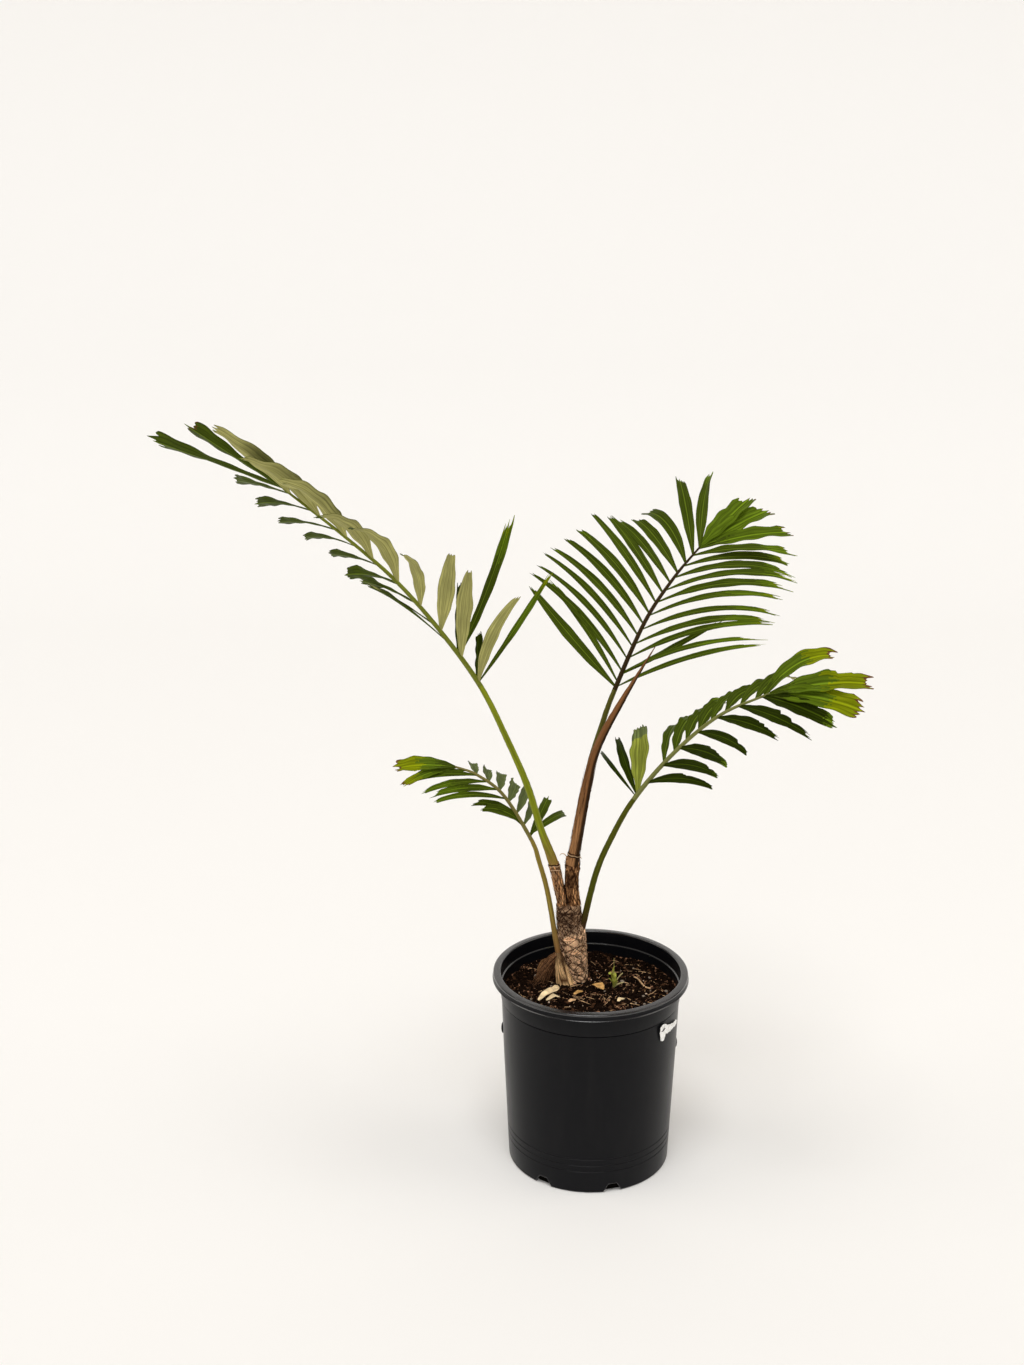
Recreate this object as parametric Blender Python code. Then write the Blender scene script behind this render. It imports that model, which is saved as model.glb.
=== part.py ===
"""A young arenga palm in a round nursery pot.

Units are metres and +Z is up. The origin is the centre of the pot's flat underside, and -Y is the front.
Four fronds rise from a short fibrous trunk: each has a sheath or foot, a petiole and a blade of leaflets.
"""

import math

import bmesh
import bpy
from mathutils import Vector

# Driving dimensions
GAP = 0.0003

POT_HEIGHT = 0.265
POT_RIM_RADIUS = 0.1275
POT_TOP_RADIUS = 0.1172
POT_BASE_RADIUS = 0.106
POT_WALL = 0.0025
POT_FLOOR = 0.003
POT_SEGMENTS = 48
BASE_BEVEL = 0.002
LIP_DEPTH = 0.0095
LEDGE_DEPTH = 0.018
STEP_HEIGHT = 0.230

# Notches stand in two pairs, at these angles in degrees from the front towards +X.
NOTCH_ANGLES = (-35.5, 15.0, 144.5, 195.0)
NOTCH_FOOT = 0.0245
NOTCH_TOP = 0.011
NOTCH_HEIGHT = 0.0095
NOTCH_DEPTH = 0.012

SOIL_LEVEL = 0.2345
SOIL_BUMP = 0.0035
SOIL_FLAT_RADIUS = 0.036
SOIL_CENTRE = Vector((-0.024, 0.030, SOIL_LEVEL))

# Heights in the limbs below are measured from the soil.
TRUNK_TOP = 0.110

# The trunk's centre and radius from its flat cut up, with a shoulder below the fork.
TRUNK = [
    ((-0.0205, 0.0360, GAP), 0.0182),
    ((-0.0212, 0.0350, 0.018), 0.0176),
    ((-0.0224, 0.0340, 0.045), 0.0176),
    ((-0.0246, 0.0328, 0.069), 0.0177),
    ((-0.0266, 0.0320, 0.080), 0.0157),
    ((-0.0288, 0.0310, TRUNK_TOP), 0.0152),
]

SHEATH_FOOT = TRUNK_TOP + GAP
SHEATH_TOP = 0.173

# Each limb is a list of (centre, radius) from its foot to its tip.
LEFT_TALL = [
    ((-0.0365, 0.0300, SHEATH_FOOT), 0.0065),
    ((-0.0411, 0.0300, 0.134), 0.0064),
    ((-0.0485, 0.0280, 0.168), 0.0066),
    ((-0.065, 0.020, 0.218), 0.0046),
    ((-0.083, 0.008, 0.283), 0.0043),
    ((-0.108, -0.015, 0.352), 0.0038),
    ((-0.141, -0.050, 0.434), 0.0032),
    ((-0.187, -0.072, 0.508), 0.0027),
    ((-0.237, -0.095, 0.575), 0.0023),
    ((-0.291, -0.120, 0.632), 0.0018),
    ((-0.357, -0.150, 0.695), 0.0012),
]
RIGHT_SHEATH = [
    ((-0.0208, 0.0335, SHEATH_FOOT), 0.0082),
    ((-0.0245, 0.0330, 0.134), 0.0084),
    ((-0.0232, 0.0325, SHEATH_TOP), 0.0090),
]
RIGHT_TALL = [
    ((-0.0195, 0.0418, SHEATH_TOP + GAP), 0.0040),
    ((-0.005, 0.048, 0.283), 0.0038),
    ((0.013, 0.060, 0.346), 0.0035),
    ((0.029, 0.070, 0.390), 0.0031),
    ((0.068, 0.100, 0.472), 0.0026),
    ((0.106, 0.130, 0.522), 0.0020),
    ((0.141, 0.155, 0.557), 0.0012),
]
SPEAR = [
    ((-0.0235, 0.0265, SHEATH_TOP + GAP), 0.0076),
    ((-0.006, 0.026, 0.281), 0.0062),
    ((0.007, 0.028, 0.330), 0.0053),
    ((0.036, 0.032, 0.387), 0.0042),
    ((0.077, 0.040, 0.456), 0.0006),
]
RIGHT_LOW = [
    ((-0.0112, 0.0310, 0.069), 0.0044),
    ((-0.0085, 0.0300, 0.085), 0.0042),
    ((0.0065, 0.020, 0.158), 0.0039),
    ((0.024, 0.012, 0.208), 0.0037),
    ((0.052, 0.000, 0.268), 0.0032),
    ((0.099, -0.018, 0.336), 0.0026),
    ((0.151, -0.040, 0.392), 0.0020),
    ((0.207, -0.065, 0.428), 0.0012),
]
LEFT_LOW = [
    ((-0.0320, 0.0195, GAP), 0.0112),
    ((-0.0370, 0.0195, 0.022), 0.0080),
    ((-0.0415, 0.0215, 0.045), 0.0036),
    ((-0.0455, 0.0260, 0.065), 0.0034),
    ((-0.056, 0.047, 0.121), 0.0033),
    ((-0.067, 0.060, 0.158), 0.0030),
    ((-0.077, 0.070, 0.184), 0.0027),
    ((-0.113, 0.085, 0.240), 0.0022),
    ((-0.148, 0.095, 0.265), 0.0018),
    ((-0.177, 0.102, 0.274), 0.0012),
]

RIB_LEAD = 0.004
LEAF_THICKNESS = 0.012
LEAF_ROWS = 6
LINE_STEPS = 18
BEND_GROWTH = 1.4

# A leaflet's shape: how far up the rib it stands, spread from the rib and lift out of the blade in
# degrees, length, arch away from the face, sweep towards the frond's tip, twist, width, and its end's
# share of that width. On each side of a frond, leaflets between two of these are shared out evenly.
# face is the direction that the blade's upper side looks in, at its foot and at its tip.
FRONDS = {
    "left_tall": {
        "limb": LEFT_TALL,
        "foot": 2,
        "rib": 6,
        "face": ((0.55, 0.25, 0.80), (0.45, 0.30, 0.85)),
        "near": (12, [
            (0.00, 36, 33, 0.165, -10, -25, 0, 0.016, 0.25),
            (0.14, 37, 35, 0.170, 6, -12, 0, 0.019, 0.25),
            (0.27, 42, 35, 0.160, 9, -8, 0, 0.018, 0.35),
            (0.35, 40, 36, 0.130, 40, 5, 0, 0.018, 0.45),
            (0.50, 36, 34, 0.130, 50, 14, 0, 0.019, 0.5),
            (0.75, 30, 32, 0.135, 45, 12, 0, 0.019, 0.6),
            (0.97, 16, 30, 0.142, 22, 8, 0, 0.020, 0.6),
        ]),
        "far": (9, [
            (0.16, 30, -8, 0.130, 9, -5, 0, 0.012, 0.4),
            (0.30, 60, -6, 0.120, 10, -20, 0, 0.013, 0.5),
            (0.45, 68, -6, 0.106, 12, -26, 0, 0.014, 0.6),
            (0.72, 71, -6, 0.120, 12, -24, 0, 0.013, 0.6),
            (0.97, 72, -7, 0.130, 0, -15, 0, 0.013, 0.7),
        ]),
        "single": [
            ("far", (0.00, 74, 85, 0.168, 5, 0, 0, 0.009, 0.3)),
            ("far", (0.01, 55, 55, 0.062, 0, 0, 0, 0.015, 0.4)),
            ("far", (0.13, 64, 88, 0.180, 0, 12, 0, 0.013, 0.5)),
            ("far", (0.14, 55, 57, 0.092, 0, 0, 0, 0.015, 0.4)),
            ("far", (1.00, 50, -20, 0.176, 10, 5, 0, 0.022, 0.95)),
            ("far", (1.00, 12, -25, 0.127, 0, 0, 0, 0.019, 0.95)),
        ],
    },
    "right_tall": {
        "limb": RIGHT_TALL,
        "foot": 0,
        "rib": 3,
        "face": ((-0.25, -0.85, 0.45), (-0.45, -0.70, 0.55)),
        "near": (12, [
            (0.10, 53, 16, 0.173, 0, -30, 0, 0.012, 0.12),
            (0.30, 55, 15, 0.166, 0, -28, 0, 0.012, 0.15),
            (0.50, 57, 15, 0.150, 0, -26, 0, 0.013, 0.2),
            (0.65, 64, 15, 0.148, 28, 0, 0, 0.014, 0.3),
            (0.78, 62, 15, 0.130, 44, -8, 0, 0.015, 0.4),
            (0.85, 54, 15, 0.134, 50, -40, 0, 0.016, 0.4),
            (0.94, 45, 15, 0.146, 33, 0, 0, 0.019, 0.35),
        ]),
        "far": (11, [
            (0.00, 47, 18, 0.195, 28, -12, 0, 0.010, 0.3),
            (0.30, 48, 19, 0.190, 38, -18, 0, 0.010, 0.4),
            (0.60, 49, 20, 0.183, 48, -16, 0, 0.012, 0.5),
            (0.80, 45, 16, 0.150, 52, -8, 0, 0.013, 0.6),
            (0.93, 55, 16, 0.138, 42, -2, 0, 0.014, 0.7),
        ]),
        "single": [
            ("near", (0.00, 65, 16, 0.170, 0, 5, 0, 0.015, 0.1)),
            ("near", (0.03, 50, 16, 0.163, 5, -15, 0, 0.008, 0.5)),
            ("far", (0.08, 45, 14, 0.147, 22, 13, 0, 0.008, 0.2)),
            ("near", (1.00, 34, 15, 0.131, 29, 0, 60, 0.017, 0.5)),
            ("far", (1.00, 2, 5, 0.104, 10, 0, 0, 0.021, 0.9)),
            ("far", (1.00, 19, 5, 0.108, 20, 0, 0, 0.022, 0.9)),
            ("far", (0.99, 44, 12, 0.125, 30, 0, 0, 0.019, 0.9)),
        ],
    },
    "right_low": {
        "limb": RIGHT_LOW,
        "foot": 0,
        "rib": 4,
        "face": ((-0.45, -0.45, 0.75), (-0.10, -0.45, 0.90)),
        "near": (8, [
            (0.26, 52, 14, 0.084, 75, -26, 0, 0.016, 0.5),
            (0.40, 42, 14, 0.066, 75, -15, 0, 0.015, 0.6),
            (0.70, 42, 10, 0.055, 75, 0, 0, 0.015, 0.7),
            (0.92, 45, 14, 0.078, 90, -10, 0, 0.016, 0.7),
        ]),
        "far": (7, [
            (0.10, 34, 2, 0.116, 15, -30, 0, 0.012, 0.2),
            (0.40, 44, 2, 0.102, 0, -28, 0, 0.014, 0.3),
            (0.60, 40, 2, 0.100, 15, -23, 0, 0.015, 0.3),
            (0.80, 36, 4, 0.116, 40, -8, 0, 0.017, 0.3),
            (0.96, 36, 3, 0.122, 40, 0, 0, 0.019, 0.4),
        ]),
        "single": [
            ("near", (0.00, 91, 16, 0.143, 52, -31, 0, 0.006, 0.3)),
            ("near", (0.01, 70, 18, 0.105, 40, -27, 0, 0.014, 0.3)),
            ("near", (0.02, 38, 19, 0.108, 52, -50, 0, 0.022, 0.4)),
            ("near", (0.97, 42, 16, 0.112, 60, 30, 0, 0.019, 0.9)),
            ("far", (1.00, 10, 4, 0.134, 30, 0, 0, 0.023, 0.9)),
            ("far", (1.00, 26, 2, 0.130, 36, -3, 0, 0.022, 0.85)),
        ],
    },
    "left_low": {
        "limb": LEFT_LOW,
        "foot": 2,
        "rib": 6,
        "face": ((0.35, -0.75, 0.50), (0.20, -0.50, 0.85)),
        "near": (5, [
            (0.42, 42, -3, 0.100, 20, -35, 0, 0.011, 0.3),
            (0.60, 33, -3, 0.092, 40, -20, 0, 0.012, 0.3),
            (0.88, 22, -3, 0.092, 24, -16, 0, 0.013, 0.4),
        ]),
        "far": (6, [
            (0.12, 70, -30, 0.075, 20, -10, 0, 0.014, 0.8),
            (0.40, 70, -30, 0.058, 20, -20, 0, 0.016, 0.9),
            (0.78, 60, -30, 0.050, 20, -20, 0, 0.015, 0.9),
        ]),
        "single": [
            ("far", (0.00, 80, -35, 0.085, 25, -12, 0, 0.011, 0.6)),
            ("far", (0.02, 88, -35, 0.095, 60, -20, 0, 0.008, 0.5)),
            ("near", (0.10, 8, 0, 0.085, 47, -55, 0, 0.011, 0.3)),
            ("near", (0.16, 20, 0, 0.060, 30, -45, 0, 0.014, 0.3)),
            ("near", (1.00, 16, 3, 0.082, 25, -8, 0, 0.023, 0.6)),
            ("near", (0.98, 32, 3, 0.078, 28, -20, 0, 0.014, 0.6)),
        ],
    },
}

POT_BLACK = (0.010, 0.011, 0.012, 1)
SOIL_BROWN = (0.030, 0.018, 0.011, 1)
BARK_BROWN = (0.190, 0.105, 0.060, 1)
SPEAR_BROWN = (0.130, 0.055, 0.028, 1)
STALK_GREEN = (0.190, 0.220, 0.030, 1)
LEAF_GREEN = (0.045, 0.120, 0.018, 1)


def clear_scene():
    for old in list(bpy.data.objects):
        bpy.data.objects.remove(old)


def finish(name, colour, roughness):
    material = bpy.data.materials.new(name)
    material.use_nodes = True
    shader = material.node_tree.nodes["Principled BSDF"]
    shader.inputs["Base Color"].default_value = colour
    shader.inputs["Roughness"].default_value = roughness
    return material


def object_from(name, shape, material=None):
    """A scene object from a bmesh, with its faces turned outwards and shaded smooth."""
    bmesh.ops.recalc_face_normals(shape, faces=shape.faces)
    mesh = bpy.data.meshes.new(name)
    shape.to_mesh(mesh)
    shape.free()
    if material:
        mesh.materials.append(material)
    mesh.shade_smooth()
    mesh.set_sharp_from_angle(angle=math.radians(35))
    made = bpy.data.objects.new(name, mesh)
    bpy.context.scene.collection.objects.link(made)
    return made


def hide_cutter(cutter):
    cutter.hide_render = True
    cutter.display_type = "WIRE"


def apply_boolean(target, operation, tools):
    """Cuts or joins a collection of tools in one step, then removes them."""
    group = bpy.data.collections.new(target.name + "_tools")
    for tool in tools:
        group.objects.link(tool)
    cut = target.modifiers.new("Boolean", "BOOLEAN")
    cut.operation = operation
    cut.solver = "EXACT"
    cut.operand_type = "COLLECTION"
    cut.collection = group
    bpy.context.view_layer.update()
    ready = target.evaluated_get(bpy.context.evaluated_depsgraph_get())
    joined = bpy.data.meshes.new_from_object(ready)
    target.modifiers.clear()
    target.data = joined
    for tool in tools:
        bpy.data.objects.remove(tool)
    bpy.data.collections.remove(group)


def between(keys, place):
    """Values read off a list of (place, value, ...) keys, in straight lines between them."""
    for first, second in zip(keys, keys[1:]):
        if place <= second[0]:
            share = max(0.0, (place - first[0]) / (second[0] - first[0]))
            return [a + (b - a) * share for a, b in zip(first[1:], second[1:])]
    return list(keys[-1][1:])


class Path:
    """A smooth curve through a limb's centres, read by the distance along it."""

    STEPS = 24

    def __init__(self, limb):
        centres = [Vector(centre) + Vector((0, 0, SOIL_LEVEL)) for centre, radius in limb]
        radii = [radius for centre, radius in limb]
        ends = [2 * centres[0] - centres[1], *centres, 2 * centres[-1] - centres[-2]]
        self.rows = [(0.0, centres[0], radii[0])]
        self.marks = [0.0]
        for index in range(len(centres) - 1):
            a, b, c, d = ends[index:index + 4]
            for step in range(1, self.STEPS + 1):
                t = step / self.STEPS
                bend = (2 * a - 5 * b + 4 * c - d) * t * t + (3 * b - a - 3 * c + d) * t ** 3
                point = (2 * b + (c - a) * t + bend) / 2
                radius = radii[index] + (radii[index + 1] - radii[index]) * t
                travelled = self.rows[-1][0] + (point - self.rows[-1][1]).length
                self.rows.append((travelled, point, radius))
            self.marks.append(self.rows[-1][0])

    def at(self, distance):
        """The centre and radius at a distance along the curve."""
        for first, second in zip(self.rows, self.rows[1:]):
            if distance <= second[0]:
                share = max(0.0, (distance - first[0]) / (second[0] - first[0]))
                return first[1].lerp(second[1], share), first[2] + (second[2] - first[2]) * share
        return self.rows[-1][1], self.rows[-1][2]

    def direction(self, distance):
        reach = 0.0015
        ahead = self.at(min(distance + reach, self.marks[-1]))[0]
        behind = self.at(max(distance - reach, 0.0))[0]
        return (ahead - behind).normalized()


def tube(path, start, end, rows, sides, deep=1.0, level=(), wider=0.0):
    """A closed tube along part of a path; deep stretches it front to back, level names its level ends."""
    shape = bmesh.new()
    rings = []
    for row in range(rows + 1):
        distance = start + (end - start) * row / rows
        centre, radius = path.at(distance)
        along = path.direction(distance)
        if (row == 0 and "foot" in level) or (row == rows and "top" in level):
            along = Vector((0, 0, 1))
        across = along.cross(Vector((0, 1, 0))).normalized()
        back = across.cross(along)
        ring = []
        for side in range(sides):
            angle = 2 * math.pi * side / sides
            spot = across * math.cos(angle) + back * math.sin(angle) * deep
            ring.append(shape.verts.new(centre + spot * (radius + wider)))
        rings.append(ring)
    for below, above in zip(rings, rings[1:]):
        for side in range(sides):
            after = (side + 1) % sides
            shape.faces.new((below[side], below[after], above[after], above[side]))
    shape.faces.new(rings[0][::-1])
    shape.faces.new(rings[-1])
    return shape


def turned(profile, segments):
    """A solid of revolution about Z from a profile of (radius, height) that starts and ends on the axis."""
    shape = bmesh.new()
    points = [shape.verts.new((radius, 0, height)) for radius, height in profile]
    edges = [shape.edges.new(pair) for pair in zip(points, points[1:])]
    bmesh.ops.spin(
        shape, geom=points + edges, cent=(0, 0, 0), axis=(0, 0, 1),
        angle=2 * math.pi, steps=segments, use_merge=True,
    )
    bmesh.ops.remove_doubles(shape, verts=shape.verts, dist=1e-5)
    return shape


def inner_radius(height):
    """The pot's inner wall below its lip."""
    share = (height - POT_FLOOR) / (POT_HEIGHT - LEDGE_DEPTH - POT_FLOOR)
    return POT_BASE_RADIUS + (POT_TOP_RADIUS - POT_BASE_RADIUS) * share - POT_WALL


def make_pot(material):
    """A thin tapered pot with a rolled lip, a fine step below it, and notches round its foot."""
    ledge = POT_HEIGHT - LEDGE_DEPTH
    under_lip = POT_HEIGHT - LIP_DEPTH
    lip = POT_RIM_RADIUS
    profile = [
        (0, 0),
        (POT_BASE_RADIUS - BASE_BEVEL, 0),
        (POT_BASE_RADIUS, BASE_BEVEL),
        (POT_TOP_RADIUS - 0.0018, STEP_HEIGHT - 0.002),
        (POT_TOP_RADIUS - 0.0006, STEP_HEIGHT),
        (POT_TOP_RADIUS, ledge - 0.002),
        (lip - 0.0065, under_lip - 0.0005),
        (lip - 0.0016, under_lip),
        (lip - 0.0003, under_lip + 0.0015),
        (lip, under_lip + 0.0040),
        (lip - 0.0010, POT_HEIGHT - 0.0018),
        (lip - 0.0032, POT_HEIGHT),
        (lip - 0.0065, POT_HEIGHT - 0.0004),
        (lip - 0.0085, POT_HEIGHT - 0.0025),
        (lip - 0.0092, POT_HEIGHT - 0.0070),
        (inner_radius(ledge), ledge),
        (inner_radius(POT_FLOOR), POT_FLOOR),
        (0, POT_FLOOR),
    ]
    pot = object_from("pot", turned(profile, POT_SEGMENTS), material)
    cutters = []
    for index, angle in enumerate(NOTCH_ANGLES):
        cutter = object_from(f"notch_{index}", notch_block())
        cutter.rotation_euler.z = math.radians(angle)
        hide_cutter(cutter)
        cutters.append(cutter)
    apply_boolean(pot, "DIFFERENCE", cutters)
    return pot


def notch_block():
    """A wedge that is wide at the pot's foot and narrow at its top, across the front of the wall."""
    inside = -(POT_BASE_RADIUS - NOTCH_DEPTH)
    outside = -(POT_BASE_RADIUS + NOTCH_DEPTH)
    below = -0.002
    shape = bmesh.new()
    rings = []
    for y in (inside, outside):
        corners = [
            (-NOTCH_FOOT / 2, y, below),
            (NOTCH_FOOT / 2, y, below),
            (NOTCH_TOP / 2, y, NOTCH_HEIGHT),
            (-NOTCH_TOP / 2, y, NOTCH_HEIGHT),
        ]
        rings.append([shape.verts.new(corner) for corner in corners])
    for side in range(4):
        after = (side + 1) % 4
        shape.faces.new((rings[0][side], rings[0][after], rings[1][after], rings[1][side]))
    shape.faces.new(rings[0])
    shape.faces.new(rings[1])
    return shape


def soil_height(x, y):
    """Level round the plant's foot, and in low heaps beyond it."""
    away = math.hypot(x - SOIL_CENTRE.x, y - SOIL_CENTRE.y)
    share = min(1.0, max(0.0, (away - SOIL_FLAT_RADIUS) / 0.03))
    heaps = math.sin(61 * x + 1.3) * math.cos(73 * y - 0.7) + 0.5 * math.sin(150 * x + 110 * y)
    return SOIL_LEVEL + SOIL_BUMP * share * heaps / 1.5


def make_soil(material):
    """The potting mix fills the pot from its floor up, 0.3 mm clear of it."""
    shape = bmesh.new()
    sides = 32
    top_radius = inner_radius(SOIL_LEVEL) - GAP * 2
    low = POT_FLOOR + GAP
    low_radius = inner_radius(low) - GAP * 2
    rings = []
    for share in (0.12, 0.26, 0.40, 0.55, 0.70, 0.85, 1.0):
        ring = []
        for side in range(sides):
            angle = 2 * math.pi * side / sides
            x = top_radius * share * math.cos(angle)
            y = top_radius * share * math.sin(angle)
            ring.append(shape.verts.new((x, y, soil_height(x, y) if share < 1 else SOIL_LEVEL)))
        rings.append(ring)
    rings.append([
        shape.verts.new((low_radius * math.cos(2 * math.pi * side / sides),
                         low_radius * math.sin(2 * math.pi * side / sides), low))
        for side in range(sides)
    ])
    middle = shape.verts.new((0, 0, soil_height(0, 0)))
    for side in range(sides):
        shape.faces.new((middle, rings[0][side], rings[0][(side + 1) % sides]))
    for inner, outer in zip(rings, rings[1:]):
        for side in range(sides):
            after = (side + 1) % sides
            shape.faces.new((inner[side], outer[side], outer[after], inner[after]))
    shape.faces.new(rings[-1])
    return object_from("soil", shape, material)


def trunk_shape(wider=0.0):
    path = Path(TRUNK)
    return tube(path, 0, path.marks[-1], 12, 16, level=("foot", "top"), wider=wider)


def cut_clear_of_trunk(piece):
    """Trims what lies in the trunk, and leaves the usual gap to it."""
    cutter = object_from("trunk_clearance", trunk_shape(wider=GAP))
    hide_cutter(cutter)
    apply_boolean(piece, "DIFFERENCE", [cutter])


def leaflet_line(path, start, span, face, side, leaf):
    """A leaflet's centre line, with the width and upper-side directions at each point of it."""
    place, spread, lift, length, arch, sweep, twist = leaf[:7]
    distance = start + RIB_LEAD + (span - RIB_LEAD) * place
    foot = path.at(distance)[0]
    along = path.direction(distance)
    looks = Vector(face[0]).normalized().lerp(Vector(face[1]).normalized(), place)
    looks = (looks - along * looks.dot(along)).normalized()
    outward = along.cross(looks) * side
    spread, lift = math.radians(spread), math.radians(lift)
    heading = along * math.cos(spread)
    heading += (outward * math.cos(lift) + looks * math.sin(lift)) * math.sin(spread)
    width = (along - heading * along.dot(heading)).normalized()
    upper = heading.cross(width) * side
    line = [(foot, width, upper)]
    grown = 0.0
    for step in range(1, LINE_STEPS + 1):
        target = (step / LINE_STEPS) ** BEND_GROWTH
        part = math.radians(target - grown)
        grown = target
        heading, upper = turn(heading, upper, -arch * part)
        heading, width = turn(heading, width, sweep * part)
        width, upper = turn(width, upper, twist * part)
        foot = foot + heading * length / LINE_STEPS
        line.append((foot, width, upper))
    return line


def turn(first, second, angle):
    """Two directions at right angles turned in their plane, the first towards the second."""
    cosine, sine = math.cos(angle), math.sin(angle)
    return first * cosine + second * sine, second * cosine - first * sine


def leaflet_shape(line, leaf):
    """A blade with four edges: left, ridge, right and keel, drawn along a leaflet's line."""
    length, width, end = leaf[3], leaf[7], leaf[8]
    keys = [(0.0, 0.10), (0.12, 0.40), (0.30, 0.80), (0.55, 1.0), (0.80, (1 + end) / 2), (1.0, end)]
    thick = length * LEAF_THICKNESS / 2
    shape = bmesh.new()
    rings = []
    for row in range(LEAF_ROWS + 1):
        share = row / LEAF_ROWS
        centre, across, upper = line[round(share * LINE_STEPS)]
        half = width / 2 * between(keys, share)[0]
        rings.append([
            shape.verts.new(centre - across * half),
            shape.verts.new(centre + upper * thick),
            shape.verts.new(centre + across * half),
            shape.verts.new(centre - upper * thick),
        ])
    for below, above in zip(rings, rings[1:]):
        for edge in range(4):
            after = (edge + 1) % 4
            shape.faces.new((below[edge], below[after], above[after], above[edge]))
    shape.faces.new(rings[0][::-1])
    shape.faces.new(rings[-1])
    return shape


def leaves_of(frond):
    """Every leaflet of a frond as (side, values): -1 is the near side of its rib and +1 the far side."""
    sides = {"near": -1, "far": 1}
    found = []
    for name, side in sides.items():
        count, keys = frond[name]
        first, last = keys[0][0], keys[-1][0]
        for index in range(count):
            place = first + (last - first) * index / (count - 1)
            found.append((side, (place, *between(keys, place))))
    found += [(sides[name], values) for name, values in frond["single"]]
    return found


def make_frond(name, frond, stalk, leaf):
    """The foot, the petiole and the blade of one frond, each a node, end to end along one path."""
    path = Path(frond["limb"])
    foot_end = path.marks[frond["foot"]]
    rib_start = path.marks[frond["rib"]]
    rib_end = path.marks[-1]
    petiole_foot = foot_end + GAP if foot_end else 0
    petiole = object_from(
        "petiole_" + name,
        tube(path, petiole_foot, rib_start - GAP, 12, 8, level=() if foot_end else ("foot",)),
        stalk,
    )
    rib = object_from("frond_" + name, tube(path, rib_start, rib_end, 12, 6), leaf)
    leaflets = []
    for index, (side, values) in enumerate(leaves_of(frond)):
        line = leaflet_line(path, rib_start, rib_end - rib_start, frond["face"], side, values)
        leaflets.append(object_from(f"leaflet_{index}", leaflet_shape(line, values)))
    apply_boolean(rib, "UNION", leaflets)
    return petiole


def build():
    clear_scene()
    bark = finish("fibrous bark", BARK_BROWN, 0.85)
    stalk = finish("petiole green", STALK_GREEN, 0.45)
    leaf = finish("leaf green", LEAF_GREEN, 0.40)
    make_pot(finish("black plastic", POT_BLACK, 0.45))
    make_soil(finish("potting mix", SOIL_BROWN, 0.95))
    object_from("trunk", trunk_shape(), bark)
    for name, frond in FRONDS.items():
        petiole = make_frond(name, frond, stalk, leaf)
        if name == "right_low":
            cut_clear_of_trunk(petiole)
    tall = Path(LEFT_TALL)
    object_from("sheath_left_tall", tube(tall, 0, tall.marks[2], 6, 10, level=("foot",)), bark)
    fork = tube(Path(RIGHT_SHEATH), 0, Path(RIGHT_SHEATH).marks[-1], 6, 12, 1.4, ("foot", "top"))
    object_from("sheath_right_tall", fork, bark)
    low = Path(LEFT_LOW)
    fan = object_from("sheath_left_low", tube(low, 0, low.marks[2], 6, 12, 0.7, ("foot",)), bark)
    cut_clear_of_trunk(fan)
    spear = Path(SPEAR)
    object_from(
        "spear_leaf",
        tube(spear, 0, spear.marks[-1], 16, 8, level=("foot",)),
        finish("spear brown", SPEAR_BROWN, 0.6),
    )


build()
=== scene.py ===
"""Looks for a young arenga palm in a round nursery pot, built round its loaded solids.

Metres, +Z up; the origin is the centre of the pot's underside and -Y is the front.
"""

import math
from typing import NamedTuple

import bpy
import numpy as np
from bpy.props import FloatProperty, FloatVectorProperty, IntProperty, PointerProperty
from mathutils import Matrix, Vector, noise


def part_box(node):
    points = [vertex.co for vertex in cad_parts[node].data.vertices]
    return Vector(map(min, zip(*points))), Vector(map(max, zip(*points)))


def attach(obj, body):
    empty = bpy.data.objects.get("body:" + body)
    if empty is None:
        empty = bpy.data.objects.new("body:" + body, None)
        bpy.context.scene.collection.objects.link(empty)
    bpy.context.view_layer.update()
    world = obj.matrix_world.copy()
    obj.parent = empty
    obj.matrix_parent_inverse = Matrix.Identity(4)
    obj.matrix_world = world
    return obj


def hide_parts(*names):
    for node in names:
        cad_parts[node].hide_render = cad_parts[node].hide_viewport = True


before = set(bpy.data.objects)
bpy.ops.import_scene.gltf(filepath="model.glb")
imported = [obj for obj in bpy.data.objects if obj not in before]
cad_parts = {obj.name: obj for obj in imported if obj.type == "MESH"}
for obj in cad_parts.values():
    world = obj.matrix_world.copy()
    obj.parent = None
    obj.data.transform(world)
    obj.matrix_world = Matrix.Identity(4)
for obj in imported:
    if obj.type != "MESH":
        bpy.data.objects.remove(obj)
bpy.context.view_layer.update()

bl_info = {
    "name": "Potted Arenga Palm",
    "version": (1, 0, 0),
    "blender": (4, 5, 0),
    "location": "View3D > Sidebar > Palm",
    "description": "Builds a young arenga palm with its nursery pot, soil and studio stage",
    "category": "Object",
}

# The pot's solid gives its rim and height. The mix's level and the gap between solids follow.
POT_RIM_RADIUS, _, POT_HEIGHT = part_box("pot")[1]
SOIL_LEVEL = 0.2345
GAP = 0.0003

# The pot's wall, its lip, the ledge under that, the step below it and the three lines near the foot.
POT_BASE_RADIUS = 0.106
POT_TOP_RADIUS = 0.1172
POT_WALL = 0.0025
POT_FLOOR = 0.003
BASE_BEVEL = 0.002
LIP_DEPTH = 0.0095
LEDGE = POT_HEIGHT - 0.018
STEP_HEIGHT = 0.2295
RING_HEIGHTS = (0.031, 0.040, 0.0493)

# Notches stand in two pairs, at these angles in degrees from the front towards +X.
NOTCH_ANGLES = (-35.5, 15.0, 144.5, 195.0)
NOTCH_FOOT = 0.0245
NOTCH_TOP = 0.011
NOTCH_HEIGHT = 0.0120
NOTCH_DEPTH = 0.007

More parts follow.
